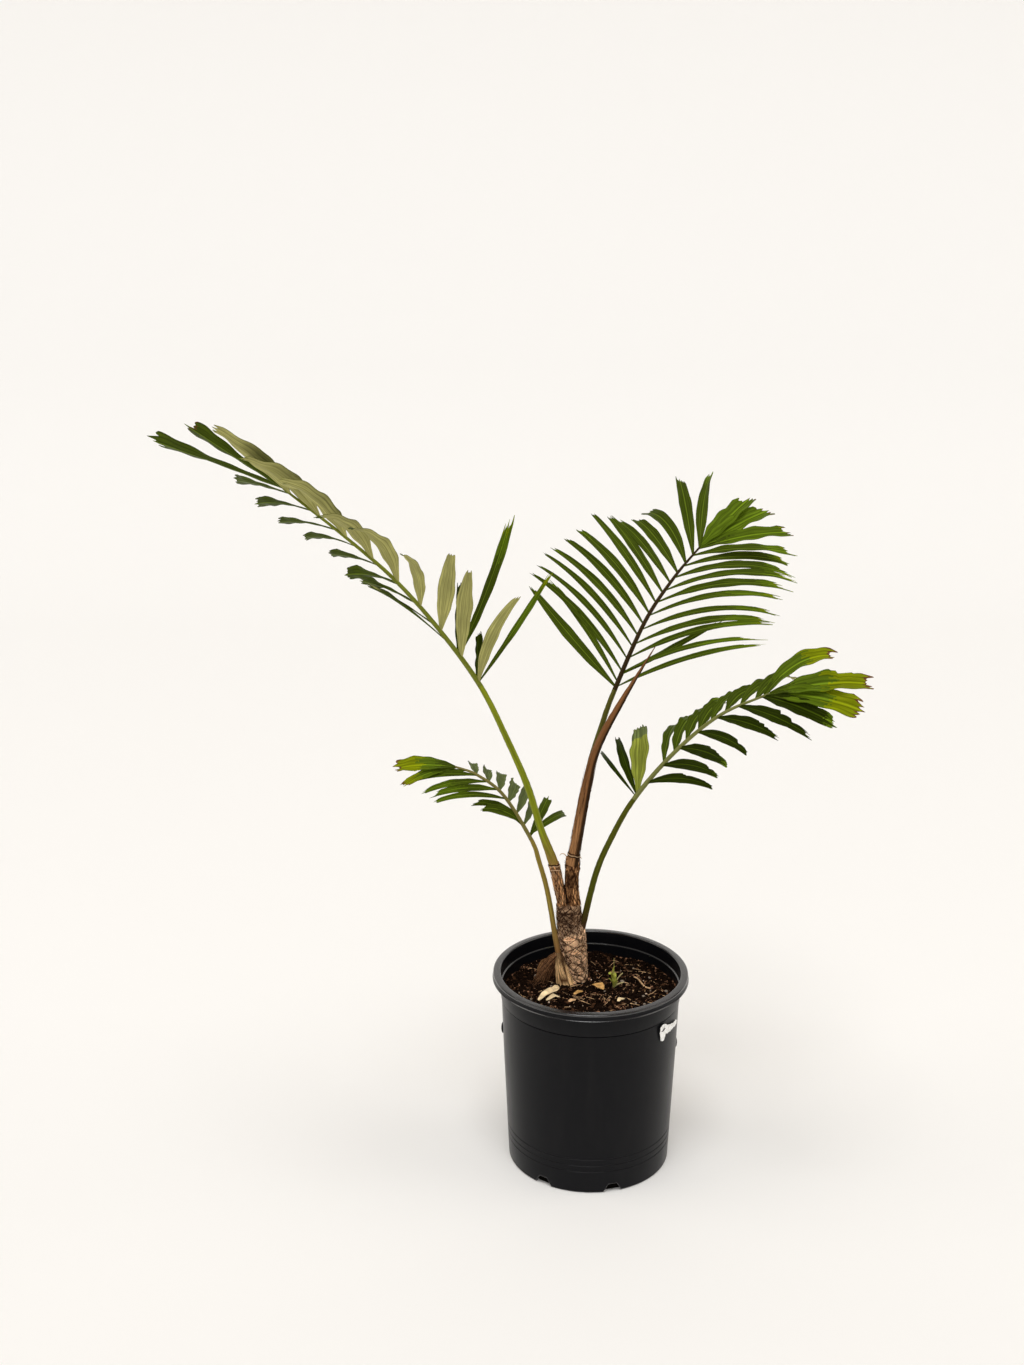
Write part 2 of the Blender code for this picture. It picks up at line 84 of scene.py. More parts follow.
# The camera stands a little left of the pot and looks slightly down.
CAMERA_PLACE = (-0.1022, -2.1492, 1.3277)
CAMERA_DOWN = 17.35
CAMERA_LENS = 48

# Heights in the limbs below are measured from the soil.
TRUNK_TOP = 0.110

# The trunk's centre and radius from its flat cut up, with a shoulder below the fork.
TRUNK = [
    ((-0.0205, 0.0360, GAP), 0.0182),
    ((-0.0212, 0.0350, 0.018), 0.0176),
    ((-0.0224, 0.0340, 0.045), 0.0176),
    ((-0.0246, 0.0328, 0.069), 0.0177),
    ((-0.0266, 0.0320, 0.080), 0.0157),
    ((-0.0288, 0.0310, TRUNK_TOP), 0.0152),
]

SHEATH_FOOT = TRUNK_TOP + GAP
SHEATH_TOP = 0.173

# Each limb is a list of (centre, radius) from its foot to its tip.
LEFT_TALL = [
    ((-0.0365, 0.0300, SHEATH_FOOT), 0.0065),
    ((-0.0411, 0.0300, 0.134), 0.0064),
    ((-0.0485, 0.0280, 0.168), 0.0066),
    ((-0.065, 0.020, 0.218), 0.0046),
    ((-0.083, 0.008, 0.283), 0.0043),
    ((-0.108, -0.015, 0.352), 0.0038),
    ((-0.141, -0.050, 0.434), 0.0032),
    ((-0.187, -0.072, 0.508), 0.0027),
    ((-0.237, -0.095, 0.575), 0.0023),
    ((-0.291, -0.120, 0.632), 0.0018),
    ((-0.357, -0.150, 0.695), 0.0012),
]
RIGHT_SHEATH = [
    ((-0.0208, 0.0335, SHEATH_FOOT), 0.0082),
    ((-0.0245, 0.0330, 0.134), 0.0084),
    ((-0.0232, 0.0325, SHEATH_TOP), 0.0090),
]
RIGHT_TALL = [
    ((-0.0195, 0.0418, SHEATH_TOP + GAP), 0.0040),
    ((-0.005, 0.048, 0.283), 0.0038),
    ((0.013, 0.060, 0.346), 0.0035),
    ((0.029, 0.070, 0.390), 0.0031),
    ((0.068, 0.100, 0.472), 0.0026),
    ((0.106, 0.130, 0.522), 0.0020),
    ((0.141, 0.155, 0.557), 0.0012),
]
SPEAR = [
    ((-0.0235, 0.0265, SHEATH_TOP + GAP), 0.0076),
    ((-0.006, 0.026, 0.281), 0.0062),
    ((0.007, 0.028, 0.330), 0.0053),
    ((0.036, 0.032, 0.387), 0.0042),
    ((0.077, 0.040, 0.456), 0.0006),
]
RIGHT_LOW = [
    ((-0.0112, 0.0310, 0.069), 0.0044),
    ((-0.0085, 0.0300, 0.085), 0.0042),
    ((0.0065, 0.020, 0.158), 0.0039),
    ((0.024, 0.012, 0.208), 0.0037),
    ((0.052, 0.000, 0.268), 0.0032),
    ((0.099, -0.018, 0.336), 0.0026),
    ((0.151, -0.040, 0.392), 0.0020),
    ((0.207, -0.065, 0.428), 0.0012),
]
LEFT_LOW = [
    ((-0.0320, 0.0195, GAP), 0.0112),
    ((-0.0370, 0.0195, 0.022), 0.0080),
    ((-0.0415, 0.0215, 0.045), 0.0036),
    ((-0.0455, 0.0260, 0.065), 0.0034),
    ((-0.056, 0.047, 0.121), 0.0033),
    ((-0.067, 0.060, 0.158), 0.0030),
    ((-0.077, 0.070, 0.184), 0.0027),
    ((-0.113, 0.085, 0.240), 0.0022),
    ((-0.148, 0.095, 0.265), 0.0018),
    ((-0.177, 0.102, 0.274), 0.0012),
]

# A frond's first leaflets stand this far up its rib. A leaflet's line bends more towards its end.
RIB_LEAD = 0.004
LINE_STEPS = 18
BEND_GROWTH = 1.4

# A leaflet's shape: how far up the rib it stands, spread from the rib and lift out of the blade in
# degrees, length, arch away from the face, sweep towards the frond's tip, twist, width, and its end's
# share of that width. On each side of a frond, leaflets between two of these are shared out evenly.
# face is the direction that the blade's upper side looks in, at its foot and at its tip.
FRONDS = {
    "left_tall": {
        "limb": LEFT_TALL,
        "foot": 2,
        "rib": 6,
        "face": ((0.55, 0.25, 0.80), (0.45, 0.30, 0.85)),
        "near": (9, [
            (0.00, 36, 33, 0.165, -10, -25, 0, 0.016, 0.25),
            (0.14, 37, 35, 0.170, 6, -12, 0, 0.019, 0.25),
            (0.27, 42, 35, 0.160, 9, -8, 0, 0.018, 0.35),
            (0.37, 40, 36, 0.135, 42, 5, 0, 0.018, 0.45),
            (0.50, 32, 34, 0.150, 50, 14, 0, 0.020, 0.5),
            (0.75, 24, 32, 0.152, 36, 12, 0, 0.022, 0.6),
            (0.97, 17, 30, 0.130, 20, 8, 0, 0.022, 0.6),
        ]),
        "far": (9, [
            (0.16, 30, -8, 0.130, 9, -5, 0, 0.012, 0.4),
            (0.30, 60, -6, 0.120, 10, -20, 0, 0.013, 0.5),
            (0.45, 68, -6, 0.106, 12, -26, 0, 0.014, 0.6),
            (0.72, 71, -6, 0.120, 12, -24, 0, 0.013, 0.6),
            (0.97, 72, -7, 0.130, 0, -15, 0, 0.013, 0.7),
        ]),
        "single": [
            ("far", (0.00, 74, 85, 0.168, 5, 0, 0, 0.009, 0.3)),
            ("far", (0.01, 55, 55, 0.062, 0, 0, 0, 0.015, 0.4)),
            ("far", (0.13, 64, 88, 0.180, 0, 12, 0, 0.013, 0.5)),
            ("far", (0.14, 55, 57, 0.092, 0, 0, 0, 0.015, 0.4)),
            ("far", (1.00, 46, -14, 0.170, 4, 5, 0, 0.022, 0.95)),
            ("far", (1.00, 8, -25, 0.130, 0, 0, 0, 0.019, 0.95)),
        ],
    },
    "right_tall": {
        "limb": RIGHT_TALL,
        "foot": 0,
        "rib": 3,
        "face": ((-0.25, -0.85, 0.45), (-0.45, -0.70, 0.55)),
        "near": (12, [
            (0.10, 53, 16, 0.173, 0, -30, 0, 0.012, 0.12),
            (0.30, 55, 15, 0.166, 0, -28, 0, 0.012, 0.15),
            (0.50, 57, 15, 0.150, 0, -26, 0, 0.013, 0.2),
            (0.65, 64, 15, 0.148, 28, 0, 0, 0.014, 0.3),
            (0.78, 62, 15, 0.130, 44, -8, 0, 0.015, 0.4),
            (0.85, 54, 15, 0.134, 50, -40, 0, 0.016, 0.4),
            (0.94, 45, 15, 0.146, 33, 0, 0, 0.019, 0.35),
        ]),
        "far": (11, [
            (0.00, 47, 18, 0.195, 28, -12, 0, 0.010, 0.3),
            (0.30, 48, 19, 0.190, 38, -18, 0, 0.010, 0.4),
            (0.60, 49, 20, 0.183, 48, -16, 0, 0.012, 0.5),
            (0.80, 45, 16, 0.150, 52, -8, 0, 0.013, 0.6),
            (0.93, 55, 16, 0.138, 42, -2, 0, 0.014, 0.7),
        ]),
        "single": [
            ("near", (0.00, 65, 16, 0.170, 0, 5, 0, 0.015, 0.1)),
            ("near", (0.03, 50, 16, 0.163, 5, -15, 0, 0.008, 0.5)),
            ("far", (0.08, 45, 14, 0.147, 22, 13, 0, 0.008, 0.2)),
            ("near", (1.00, 34, 15, 0.131, 29, 0, 60, 0.017, 0.5)),
            ("far", (1.00, 2, 5, 0.104, 10, 0, 0, 0.021, 0.9)),
            ("far", (1.00, 19, 5, 0.108, 20, 0, 0, 0.022, 0.9)),
            ("far", (0.99, 44, 12, 0.125, 30, 0, 0, 0.019, 0.9)),
        ],
    },
    "right_low": {
        "limb": RIGHT_LOW,
        "foot": 0,
        "rib": 4,
        "face": ((-0.45, -0.45, 0.75), (-0.10, -0.45, 0.90)),
        "near": (8, [
            (0.26, 52, 14, 0.084, 75, -26, 0, 0.016, 0.5),
            (0.40, 42, 14, 0.066, 75, -15, 0, 0.015, 0.6),
            (0.70, 42, 10, 0.055, 75, 0, 0, 0.015, 0.7),
            (0.92, 45, 14, 0.078, 90, -10, 0, 0.016, 0.7),
        ]),
        "far": (7, [
            (0.10, 34, 2, 0.116, 15, -30, 0, 0.012, 0.2),
            (0.40, 44, 2, 0.102, 0, -28, 0, 0.014, 0.3),
            (0.60, 40, 2, 0.100, 15, -23, 0, 0.015, 0.3),
            (0.80, 36, 4, 0.116, 40, -8, 0, 0.017, 0.3),
            (0.96, 36, 3, 0.122, 40, 0, 0, 0.019, 0.4),
        ]),
        "single": [
            ("near", (0.00, 91, 16, 0.143, 52, -31, 0, 0.006, 0.3)),
            ("near", (0.01, 70, 18, 0.105, 40, -27, 0, 0.014, 0.3)),
            ("near", (0.02, 38, 19, 0.108, 52, -50, 0, 0.022, 0.4)),
            ("near", (0.97, 42, 16, 0.112, 60, 30, 0, 0.019, 0.9)),
            ("far", (1.00, 10, 4, 0.134, 30, 0, 0, 0.023, 0.9)),
            ("far", (1.00, 26, 2, 0.130, 36, -3, 0, 0.022, 0.85)),
        ],
    },
    "left_low": {
        "limb": LEFT_LOW,
        "foot": 2,
        "rib": 6,
        "face": ((0.35, -0.75, 0.50), (0.20, -0.50, 0.85)),
        "near": (5, [
            (0.42, 42, -3, 0.100, 20, -35, 0, 0.011, 0.3),
            (0.60, 33, -3, 0.092, 40, -20, 0, 0.012, 0.3),
            (0.88, 22, -3, 0.092, 24, -16, 0, 0.013, 0.4),
        ]),
        "far": (6, [
            (0.12, 70, -30, 0.075, 20, -10, 0, 0.014, 0.8),
            (0.40, 70, -30, 0.058, 20, -20, 0, 0.016, 0.9),
            (0.78, 60, -30, 0.050, 20, -20, 0, 0.015, 0.9),
        ]),
        "single": [
            ("far", (0.00, 62, -12, 0.080, 25, -12, 0, 0.013, 0.6)),
            ("far", (0.02, 84, 0, 0.092, 55, -22, 0, 0.010, 0.5)),
            ("near", (0.10, 8, 0, 0.085, 47, -55, 0, 0.011, 0.3)),
            ("near", (0.16, 20, 0, 0.060, 30, -45, 0, 0.014, 0.3)),
            ("near", (1.00, 16, 3, 0.082, 25, -8, 0, 0.023, 0.6)),
            ("near", (0.98, 32, 3, 0.078, 28, -20, 0, 0.014, 0.6)),
        ],
    },
}

SIDES = {"near": -1, "far": 1}

# Corners nearer to each other than this are merged.
MERGE = 1e-6
FULL_TURN = 2 * np.pi


# ---------------------------------------------------------------- making shapes


def only(piece):
    bpy.ops.object.select_all(action="DESELECT")
    piece.select_set(True)
    bpy.context.view_layer.objects.active = piece


def named(piece, name):
    piece.name = piece.data.name = name.replace(" ", "_")
    return piece


def joined(name, parts):
    """Parts made one piece, with the first one's place and materials."""
    only(parts[0])
    for part in parts:
        part.select_set(True)
    bpy.ops.object.join()
    return named(parts[0], name)


def apply_modifiers(piece):
    only(piece)
    for modifier in list(piece.modifiers):
        bpy.ops.object.modifier_apply(modifier=modifier.name)


def thicken(piece, thickness, back_materials=0):
    """Gives a sheet its thickness. Its back's materials come that many slots later."""
    skin = piece.modifiers.new("Thickness", "SOLIDIFY")
    skin.thickness, skin.material_offset = thickness, back_materials
    apply_modifiers(piece)


def dress(piece, *materials):
    piece.data.materials.clear()
    for material in materials:
        piece.data.materials.append(material)
    return piece


def settle(piece, slot, *nodes):
    """The piece rides on the plant and stands for the solids named. Its slot is not used."""
    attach(piece, "root")
    if nodes:
        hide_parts(*nodes)


def smooth(piece, degrees):
    only(piece)
    bpy.ops.object.shade_smooth_by_angle(angle=math.radians(degrees))


def outwards(piece, merge=0.0):
    """Turns a piece's faces outwards, after merging the corners that lie that near each other."""
    only(piece)
    bpy.ops.object.mode_set(mode="EDIT")
    bpy.ops.mesh.select_all(action="SELECT")
    if merge:
        bpy.ops.mesh.remove_doubles(threshold=merge)
    bpy.ops.mesh.normals_make_consistent(inside=False)
    bpy.ops.object.mode_set(mode="OBJECT")


def corners_of(mesh):
    flat = np.empty(len(mesh.vertices) * 3)
    mesh.vertices.foreach_get("co", flat)
    return flat.reshape(-1, 3)


def set_corners(mesh, places):
    mesh.vertices.foreach_set("co", np.ascontiguousarray(places, np.float64).ravel())
    mesh.update()


def set_map(mesh, across, along):
    """The piece's own map: across and along are one value for each corner of the grid."""
    layer = mesh.uv_layers.active or mesh.uv_layers.new(name="UVMap")
    spots = np.empty(len(mesh.loops), np.int64)
    mesh.loops.foreach_get("vertex_index", spots)
    layer.data.foreach_set("uv", np.stack([across[spots], along[spots]], 1).ravel())


def sheet(columns, rows, place):
    """A grid of faces bent to shape: place(u, v) gives the corners, u across and v along from 0 to 1."""
    bpy.ops.mesh.primitive_grid_add(x_subdivisions=columns, y_subdivisions=rows, size=1)
    piece = bpy.context.object
    u, v = (corners_of(piece.data)[:, :2] + 0.5).clip(0, 1).T
    set_corners(piece.data, place(u, v))
    return piece, u, v


def from_lists(corners, faces):
    mesh = bpy.data.meshes.new("part")
    mesh.from_pydata(corners, [], faces)
    piece = bpy.data.objects.new("part", mesh)
    bpy.context.scene.collection.objects.link(piece)
    return piece


def rotation(angle):
    """The matrix of a turn about Z."""
    c, s = math.cos(angle), math.sin(angle)
    return np.array([[c, -s, 0], [s, c, 0], [0, 0, 1]])


def tipping(angle):
    """The matrix of a turn about X."""
    c, s = math.cos(angle), math.sin(angle)
    return np.array([[1, 0, 0], [0, c, -s], [0, s, c]])


def random_turns(rng, count, tilt):
    """Rotation matrices: a turn about Z and then a tip of up to tilt about a level axis."""
    ranges = ((0, FULL_TURN), (-tilt, tilt), (0, np.pi))
    spins, tips, ways = (rng.uniform(low, high, count) for low, high in ranges)
    return np.array([rotation(way) @ tipping(tip) @ rotation(spin - way)
        for spin, tip, way in zip(spins, tips, ways)])


def unit(vectors):
    return vectors / np.linalg.norm(vectors, axis=-1, keepdims=True)


def read_off(spots, places, rows):
    """Rows of values at some spots, in straight lines between the rows that stand at the places."""
    return np.stack([np.interp(spots, places, column) for column in np.transpose(rows)], -1)


def between(keys, spots):
    """Values read off a list of (place, value, ...) keys, in straight lines between them."""
    keys = np.array(keys)
    return read_off(spots, keys[:, 0], keys[:, 1:])


def evenly(corners, count):
    """That many points along a line of corners, as many between each two."""
    return read_off(np.linspace(0, len(corners) - 1, count), range(len(corners)), corners)


def straight(first, last, steps):
    """The points at these shares of the way from one point to another."""
    return np.array(first) * (1 - steps[:, None]) + np.array(last) * steps[:, None]


def bumps(points, scale, seed=0.0):
    """Smooth noise from -1 to 1 at each point."""
    return np.array([noise.noise(Vector(point)) for point in points * scale + seed])


def way_round(across, back, angle, deep=1.0):
    """Directions out from a limb at angles round it, stretched front to back."""
    return across * np.cos(angle)[:, None] + back * (np.sin(angle) * deep)[:, None]


class Path:
    """The smooth curve through a limb's centres, read by the distance along it."""

    STEPS = 24
    REACH = 0.0015

    def __init__(self, limb):
        centres = [np.array(centre) + (0, 0, SOIL_LEVEL) for centre, _ in limb]
        radii = [radius for _, radius in limb]
        ends = [2 * centres[0] - centres[1], *centres, 2 * centres[-1] - centres[-2]]
        points = [centres[0]]
        for a, b, c, d in zip(ends, ends[1:], ends[2:], ends[3:]):
            for t in np.arange(1, self.STEPS + 1) / self.STEPS:
                bend = (2 * a - 5 * b + 4 * c - d) * t * t + (3 * b - a - 3 * c + d) * t ** 3
                points.append((2 * b + (c - a) * t + bend) / 2)
        self.points = np.array(points)
        self.sizes = np.interp(np.arange(len(points)) / self.STEPS, range(len(radii)), radii)
        steps = np.linalg.norm(np.diff(self.points, axis=0), axis=1)
        self.distances = np.concatenate([[0.0], np.cumsum(steps)])
        self.marks = self.distances[::self.STEPS]
        self.length = self.distances[-1]

    def at(self, distance):
        """The centre and the radius there."""
        centre = read_off(distance, self.distances, self.points)
        return centre, np.interp(distance, self.distances, self.sizes)

    def direction(self, distance):
        ahead = self.at(np.minimum(distance + self.REACH, self.length))[0]
        behind = self.at(np.maximum(distance - self.REACH, 0.0))[0]
        return unit(ahead - behind)

    def section(self, distance):
        """The centre and radius there, with the directions along the limb, across it and to its back."""
        along = self.direction(distance)
        across = unit(np.cross(along, (0, 1, 0)))
        return *self.at(distance), along, across, np.cross(along, across)


def tube(path, start, end, rows, sides, relief, deep=1.0, lead=0.0):
    """A closed tube along a path. relief(angle, distance, spots) adds to its radius.

    deep stretches it front to back, and lead carries its foot straight back by that much.
    """
    def place(u, v):
        share = np.clip((v * rows - 1) / (rows - 2), 0, 1)
        distance = start - lead + (end - start + lead) * share
        held = np.maximum(distance, start)
        centre, radius, along, across, back = path.section(held)
        centre = centre + along * (distance - held)[:, None]
        angle = FULL_TURN * u
        way = way_round(across, back, angle, deep)
        radius = radius + relief(angle, distance, centre + way * radius[:, None])
        radius = np.where((v < 0.5 / rows) | (v > 1 - 0.5 / rows), 0, radius)
        return centre + way * radius[:, None]

    piece, u, v = sheet(sides, rows, place)
    set_map(piece.data, u, start - lead + (end - start + lead) * v)
    outwards(piece, MERGE)
    smooth(piece, 50)
    return piece


def wires(lines, sides, *materials):
    """Fine rods in one mesh: each line is (points, radii), closed at both ends."""
    corners, faces, first = [], [], 0
    angles = FULL_TURN * np.arange(sides) / sides
    pairs = [(side, (side + 1) % sides) for side in range(sides)]
    for points, radii in lines:
        along = unit(np.gradient(points, axis=0))
        helper = np.where(np.abs(along[:, 2:]) > 0.9, (1.0, 0, 0), (0, 0, 1.0))
        across = unit(np.cross(along, helper))
        back = np.cross(along, across)
        ring = across[:, None] * np.cos(angles)[:, None] + back[:, None] * np.sin(angles)[:, None]
        corners += [(points[:, None] + ring * radii[:, None, None]).reshape(-1, 3), points[[0, -1]]]
        last = first + (len(points) - 1) * sides
        for low in range(first, last, sides):
            high = low + sides
            faces += [(low + a, low + b, high + b, high + a) for a, b in pairs]
        end = last + sides
        for a, b in pairs:
            faces += [(first + b, first + a, end), (last + a, last + b, end + 1)]
        first = end + 2
    piece = from_lists(np.concatenate(corners).tolist(), faces)
    outwards(piece)
    bpy.ops.object.shade_smooth()
    return dress(piece, *materials)


# ---------------------------------------------------------------- settings


def tint(name, about, default):
    return FloatVectorProperty(
        name=name, description=about, subtype="COLOR", size=3, default=default, min=0, max=1)


def measure(name, about, default):
    return FloatProperty(name=name, description=about, default=default, unit="LENGTH")


def amount(name, about, default):
    return FloatProperty(name=name, description=about, default=default, min=0)


# ---------------------------------------------------------------- finishes


def rgba(colour):
    """A colour as nodes take it. Another node's output stays as it is."""
    return colour if isinstance(colour, bpy.types.NodeSocket) else (*colour[:3], 1)


def feed(node, inputs):
    """Gives a node's inputs, by name or number, a value or another node's output."""
    for label, value in inputs.items():
        if isinstance(value, bpy.types.NodeSocket):
            node.id_data.links.new(value, node.inputs[label])
        else:
            node.inputs[label].default_value = value


def add_node(tree, kind, inputs, **settings):
    """Adds a shader node, set and fed, and gives its outputs."""
    node = tree.nodes.new("ShaderNode" + kind)
    for key, value in settings.items():
        setattr(node, key, value)
    feed(node, inputs)
    return node.outputs


def group(name, **settings):
    """A new node group from a vector and these settings to a mask: its tree, its inputs and its end."""
    tree = bpy.data.node_groups.new(name, "ShaderNodeTree")
    for label, value in {"Vector": (0, 0, 0), **settings}.items():
        kind = "NodeSocketFloat" if isinstance(value, float) else "NodeSocketVector"
        tree.interface.new_socket(label, in_out="INPUT", socket_type=kind).default_value = value
    tree.interface.new_socket("Mask", in_out="OUTPUT", socket_type="NodeSocketFloat")
    return tree, tree.nodes.new("NodeGroupInput").outputs, tree.nodes.new("NodeGroupOutput")


def make_groups():
    """Grain is stretched noise, Lines are fine parallel lines, and Cells are flakes with dark borders."""
    def stretched(tree, given):
        factors = {0: given["Vector"], 1: given["Stretch"]}
        return add_node(tree, "VectorMath", factors, operation="MULTIPLY")[0]

    tree, given, end = group("Grain", Stretch=(1, 1, 1), Detail=3.0, Low=0.3, High=0.7)
    noises = {"Vector": stretched(tree, given), "Scale": 1, "Detail": given["Detail"]}
    grain = add_node(tree, "TexNoise", noises)[0]
    span = {"Value": grain, "From Min": given["Low"], "From Max": given["High"]}
    feed(end, {0: add_node(tree, "MapRange", span)[0]})

    tree, given, end = group("Lines", Count=20.0, Waver=1.0)
    wave = {"Vector": given["Vector"], "Scale": given["Count"], "Distortion": given["Waver"],
        "Detail Scale": 3}
    feed(end, {0: add_node(tree, "TexWave", wave, bands_direction="X")["Fac"]})

    tree, given, end = group("Cells", Stretch=(1, 1, 1), Crack=0.1)
    flakes = add_node(tree, "TexVoronoi", {"Vector": stretched(tree, given), "Scale": 1},
        feature="DISTANCE_TO_EDGE")
    span = {"Value": flakes["Distance"], "From Max": given["Crack"]}
    feed(end, {0: add_node(tree, "MapRange", span)[0]})


class Finish:
    """A material being made: its shader, with short ways to add masks, mixes and bumps to it."""

    def __init__(self, name, colour, roughness, shine, tinge=(1, 1, 1)):
        self.made = bpy.data.materials.new(name)
        self.made.use_nodes = True
        self.tree = self.made.node_tree
        self.shader = self.tree.nodes["Principled BSDF"]
        feed(self.shader, {"Base Color": rgba(colour), "Roughness": roughness, "Specular IOR Level": shine,
            "Specular Tint": rgba(tinge)})
        self.spaces = add_node(self.tree, "TexCoord", {})

    def mask(self, effect, kind="Object", **values):
        """One of the shared groups with its own values, read on Object coordinates or the piece's map."""
        inputs = {"Vector": self.spaces[kind], **values}
        return add_node(self.tree, "Group", inputs, node_tree=bpy.data.node_groups[effect])[0]

    def slanting(self, effect, degrees, **values):
        """One of the shared groups on the piece's map, in metres and turned."""
        turn = {"Scale": (0.1, 1, 1), "Rotation": (0, 0, math.radians(degrees)), "Vector": self.spaces["UV"]}
        return self.mask(effect, "UV", Vector=add_node(self.tree, "Mapping", turn)[0], **values)

    def part(self, kind, axis):
        return add_node(self.tree, "SeparateXYZ", {0: self.spaces[kind]})[axis]

    def span(self, value, low, high, first=0.0, last=1.0):
        """The value's range from low to high made one from first to last."""
        return add_node(self.tree, "MapRange",
            {"Value": value, "From Min": low, "From Max": high, "To Min": first, "To Max": last})[0]

    def work(self, operation, first, second=0.0):
        return add_node(self.tree, "Math", {0: first, 1: second}, operation=operation)[0]

    def off_from(self, middle):
        """How far across the piece's map a spot lies from there."""
        return self.work("ABSOLUTE", self.work("SUBTRACT", self.part("UV", 0), middle))

    def mix(self, share, first, second):
        return add_node(self.tree, "Mix", {0: share, 6: rgba(first), 7: rgba(second)}, data_type="RGBA")[2]

    def done(self, colour, relief, strength, distance, **others):
        """The material, once its shader has its colour, its bumps and any others."""
        bump = add_node(self.tree, "Bump", {"Strength": strength, "Distance": distance, "Height": relief})
        feed(self.shader, {"Base Color": colour, "Normal": bump[0], **others})
        return self.made


def shade(colour, by):
    return tuple(channel * by for channel in colour[:3])


def leaf_finish(name, colour, vein, roughness):
    """A leaflet's skin: fine parallel veins darkened with painted shade of the pleats, streaks along it and a
    midrib, all on its own map.
    """
    skin = Finish(name, colour, roughness, 0.025, (1.0, 0.95, 0.50))
    streaks = skin.mask("Grain", "UV", Stretch=(14, 20, 1), Detail=4.0, Low=0.34, High=0.68)
    patches = skin.mask("Grain", Stretch=(38, 38, 38), Detail=2.0, Low=0.35, High=0.65)
    veins_and_pleat_shade = skin.mask("Lines", "UV", Count=1.6, Waver=0.4)
    leaf_by_leaf = skin.mask("Grain", "UV", Stretch=(0.8, 5, 1), Detail=1.0, Low=0.36, High=0.62)
    tone = skin.mix(streaks, shade(colour, 0.60), shade(colour, 1.36))
    tone = skin.mix(skin.work("MULTIPLY", patches, 0.35), tone, shade(colour, 0.55))
    tone = skin.mix(skin.work("MULTIPLY", leaf_by_leaf, 0.45), tone, shade(colour, 0.48))
    # The fine dark lines are partly veins and partly painted shade in the pleats.
    tone = skin.mix(skin.span(veins_and_pleat_shade, 0.03, 0.30, 0.60, 0.0), tone, shade(colour, 0.40))
    midrib = skin.span(skin.off_from(0.5), 0.022, 0.055, 1.0, 0.0)
    relief = skin.work("ADD", veins_and_pleat_shade, skin.work("MULTIPLY", midrib, 1.5))
    return skin.done(skin.mix(midrib, tone, vein), relief, 0.35, 0.0004,
        Roughness=skin.span(streaks, 0.0, 1.0, roughness - 0.06, roughness + 0.08))


def stalk_finish(name, low, high, change_start, change_end, roughness=0.42, shaded_side=None):
    """A stalk that changes colour along its length, with streaks that follow it and one side darkened by
    painted shade.
    """
    skin = Finish(name, high, roughness, 0.11, (1.0, 0.92, 0.45))
    streaks = skin.mask("Grain", "UV", Stretch=(9, 14, 1), Detail=4.0, Low=0.34, High=0.66)
    fibres = skin.mask("Grain", "UV", Stretch=(48, 30, 1), Detail=3.0, Low=0.35, High=0.65)
    place = skin.work("ADD", skin.part("UV", 1), skin.work("MULTIPLY", streaks, 0.012))
    change = skin.span(place, change_start, change_end)
    foot = skin.mix(fibres, shade(low, 0.55), shade(low, 1.3))
    whole = skin.mix(change, foot, skin.mix(streaks, shade(high, 0.70), shade(high, 1.22)))
    # The darker side is painted shade.
    if shaded_side:
        from_side, to_side, depth = shaded_side
        reach = (to_side - from_side) / 2
        darker = skin.span(skin.off_from((from_side + to_side) / 2), reach * 0.8, reach, depth, 0.0)
        whole = skin.mix(darker, whole, shade(high, 0.12))
    return skin.done(whole, skin.work("ADD", fibres, streaks), 0.25, 0.0005,
        Roughness=skin.span(change, 0.0, 1.0, 0.75, roughness))


def bark_finish(name, dark, light, dark_from, dark_to, slants=(-36, 41), cells=(52, 150), crack=0.11):
    """Matted bark: slanting flakes that cross, dark with painted shade in the cracks between them, and one
    dark band.
    """
    skin = Finish(name, light, 0.85, 0.02)
    one_way = skin.slanting("Cells", slants[0], Stretch=(*cells, 1), Crack=crack)
    other_way = skin.slanting("Cells", slants[1], Stretch=(cells[0] * 0.8, cells[1] * 0.8, 1), Crack=crack)
    cracks = skin.work("MULTIPLY", one_way, other_way)
    fibres = skin.slanting("Grain", slants[0], Stretch=(130, 620, 1), Detail=3.0, Low=0.38, High=0.60)
    crossing = skin.slanting("Grain", slants[1], Stretch=(120, 560, 1), Detail=3.0, Low=0.38, High=0.60)
    patches = skin.mask("Grain", Stretch=(75, 75, 55), Detail=3.0, Low=0.40, High=0.64)
    flakes = skin.mix(skin.work("MAXIMUM", fibres, crossing), shade(light, 0.70), shade(light, 1.35))
    flakes = skin.mix(skin.work("MULTIPLY", patches, 0.22), flakes, shade(light, 0.30))
    height = skin.work("ADD", skin.part("UV", 1), skin.work("MULTIPLY", patches, 0.010))
    rising = skin.span(height, dark_from, dark_from + 0.010)
    falling = skin.span(height, dark_to, dark_to + 0.010, 1.0, 0.0)
    band = skin.work("MULTIPLY", skin.work("MULTIPLY", rising, falling), 0.88)
    in_band = skin.mix(cracks, shade(dark, 0.6), skin.mix(fibres, shade(dark, 1.4), shade(light, 0.42)))
    relief = skin.work("ADD", cracks, skin.work("MULTIPLY", fibres, 0.4))
    return skin.done(skin.mix(band, skin.mix(cracks, dark, flakes), in_band), relief, 0.7, 0.0014)


def speckled(name, colour, roughness, size, depth=0.5, contrast=0.45):
    """A plain dry thing with flecks of a darker shade and a rough skin."""
    skin = Finish(name, colour, roughness, 0.02)
    flecks = skin.mask("Grain", Stretch=(size, size, size), Detail=3.0, Low=0.35, High=0.65)
    return skin.done(skin.mix(flecks, shade(colour, contrast), shade(colour, 1.3)), flecks, depth, 0.0006)


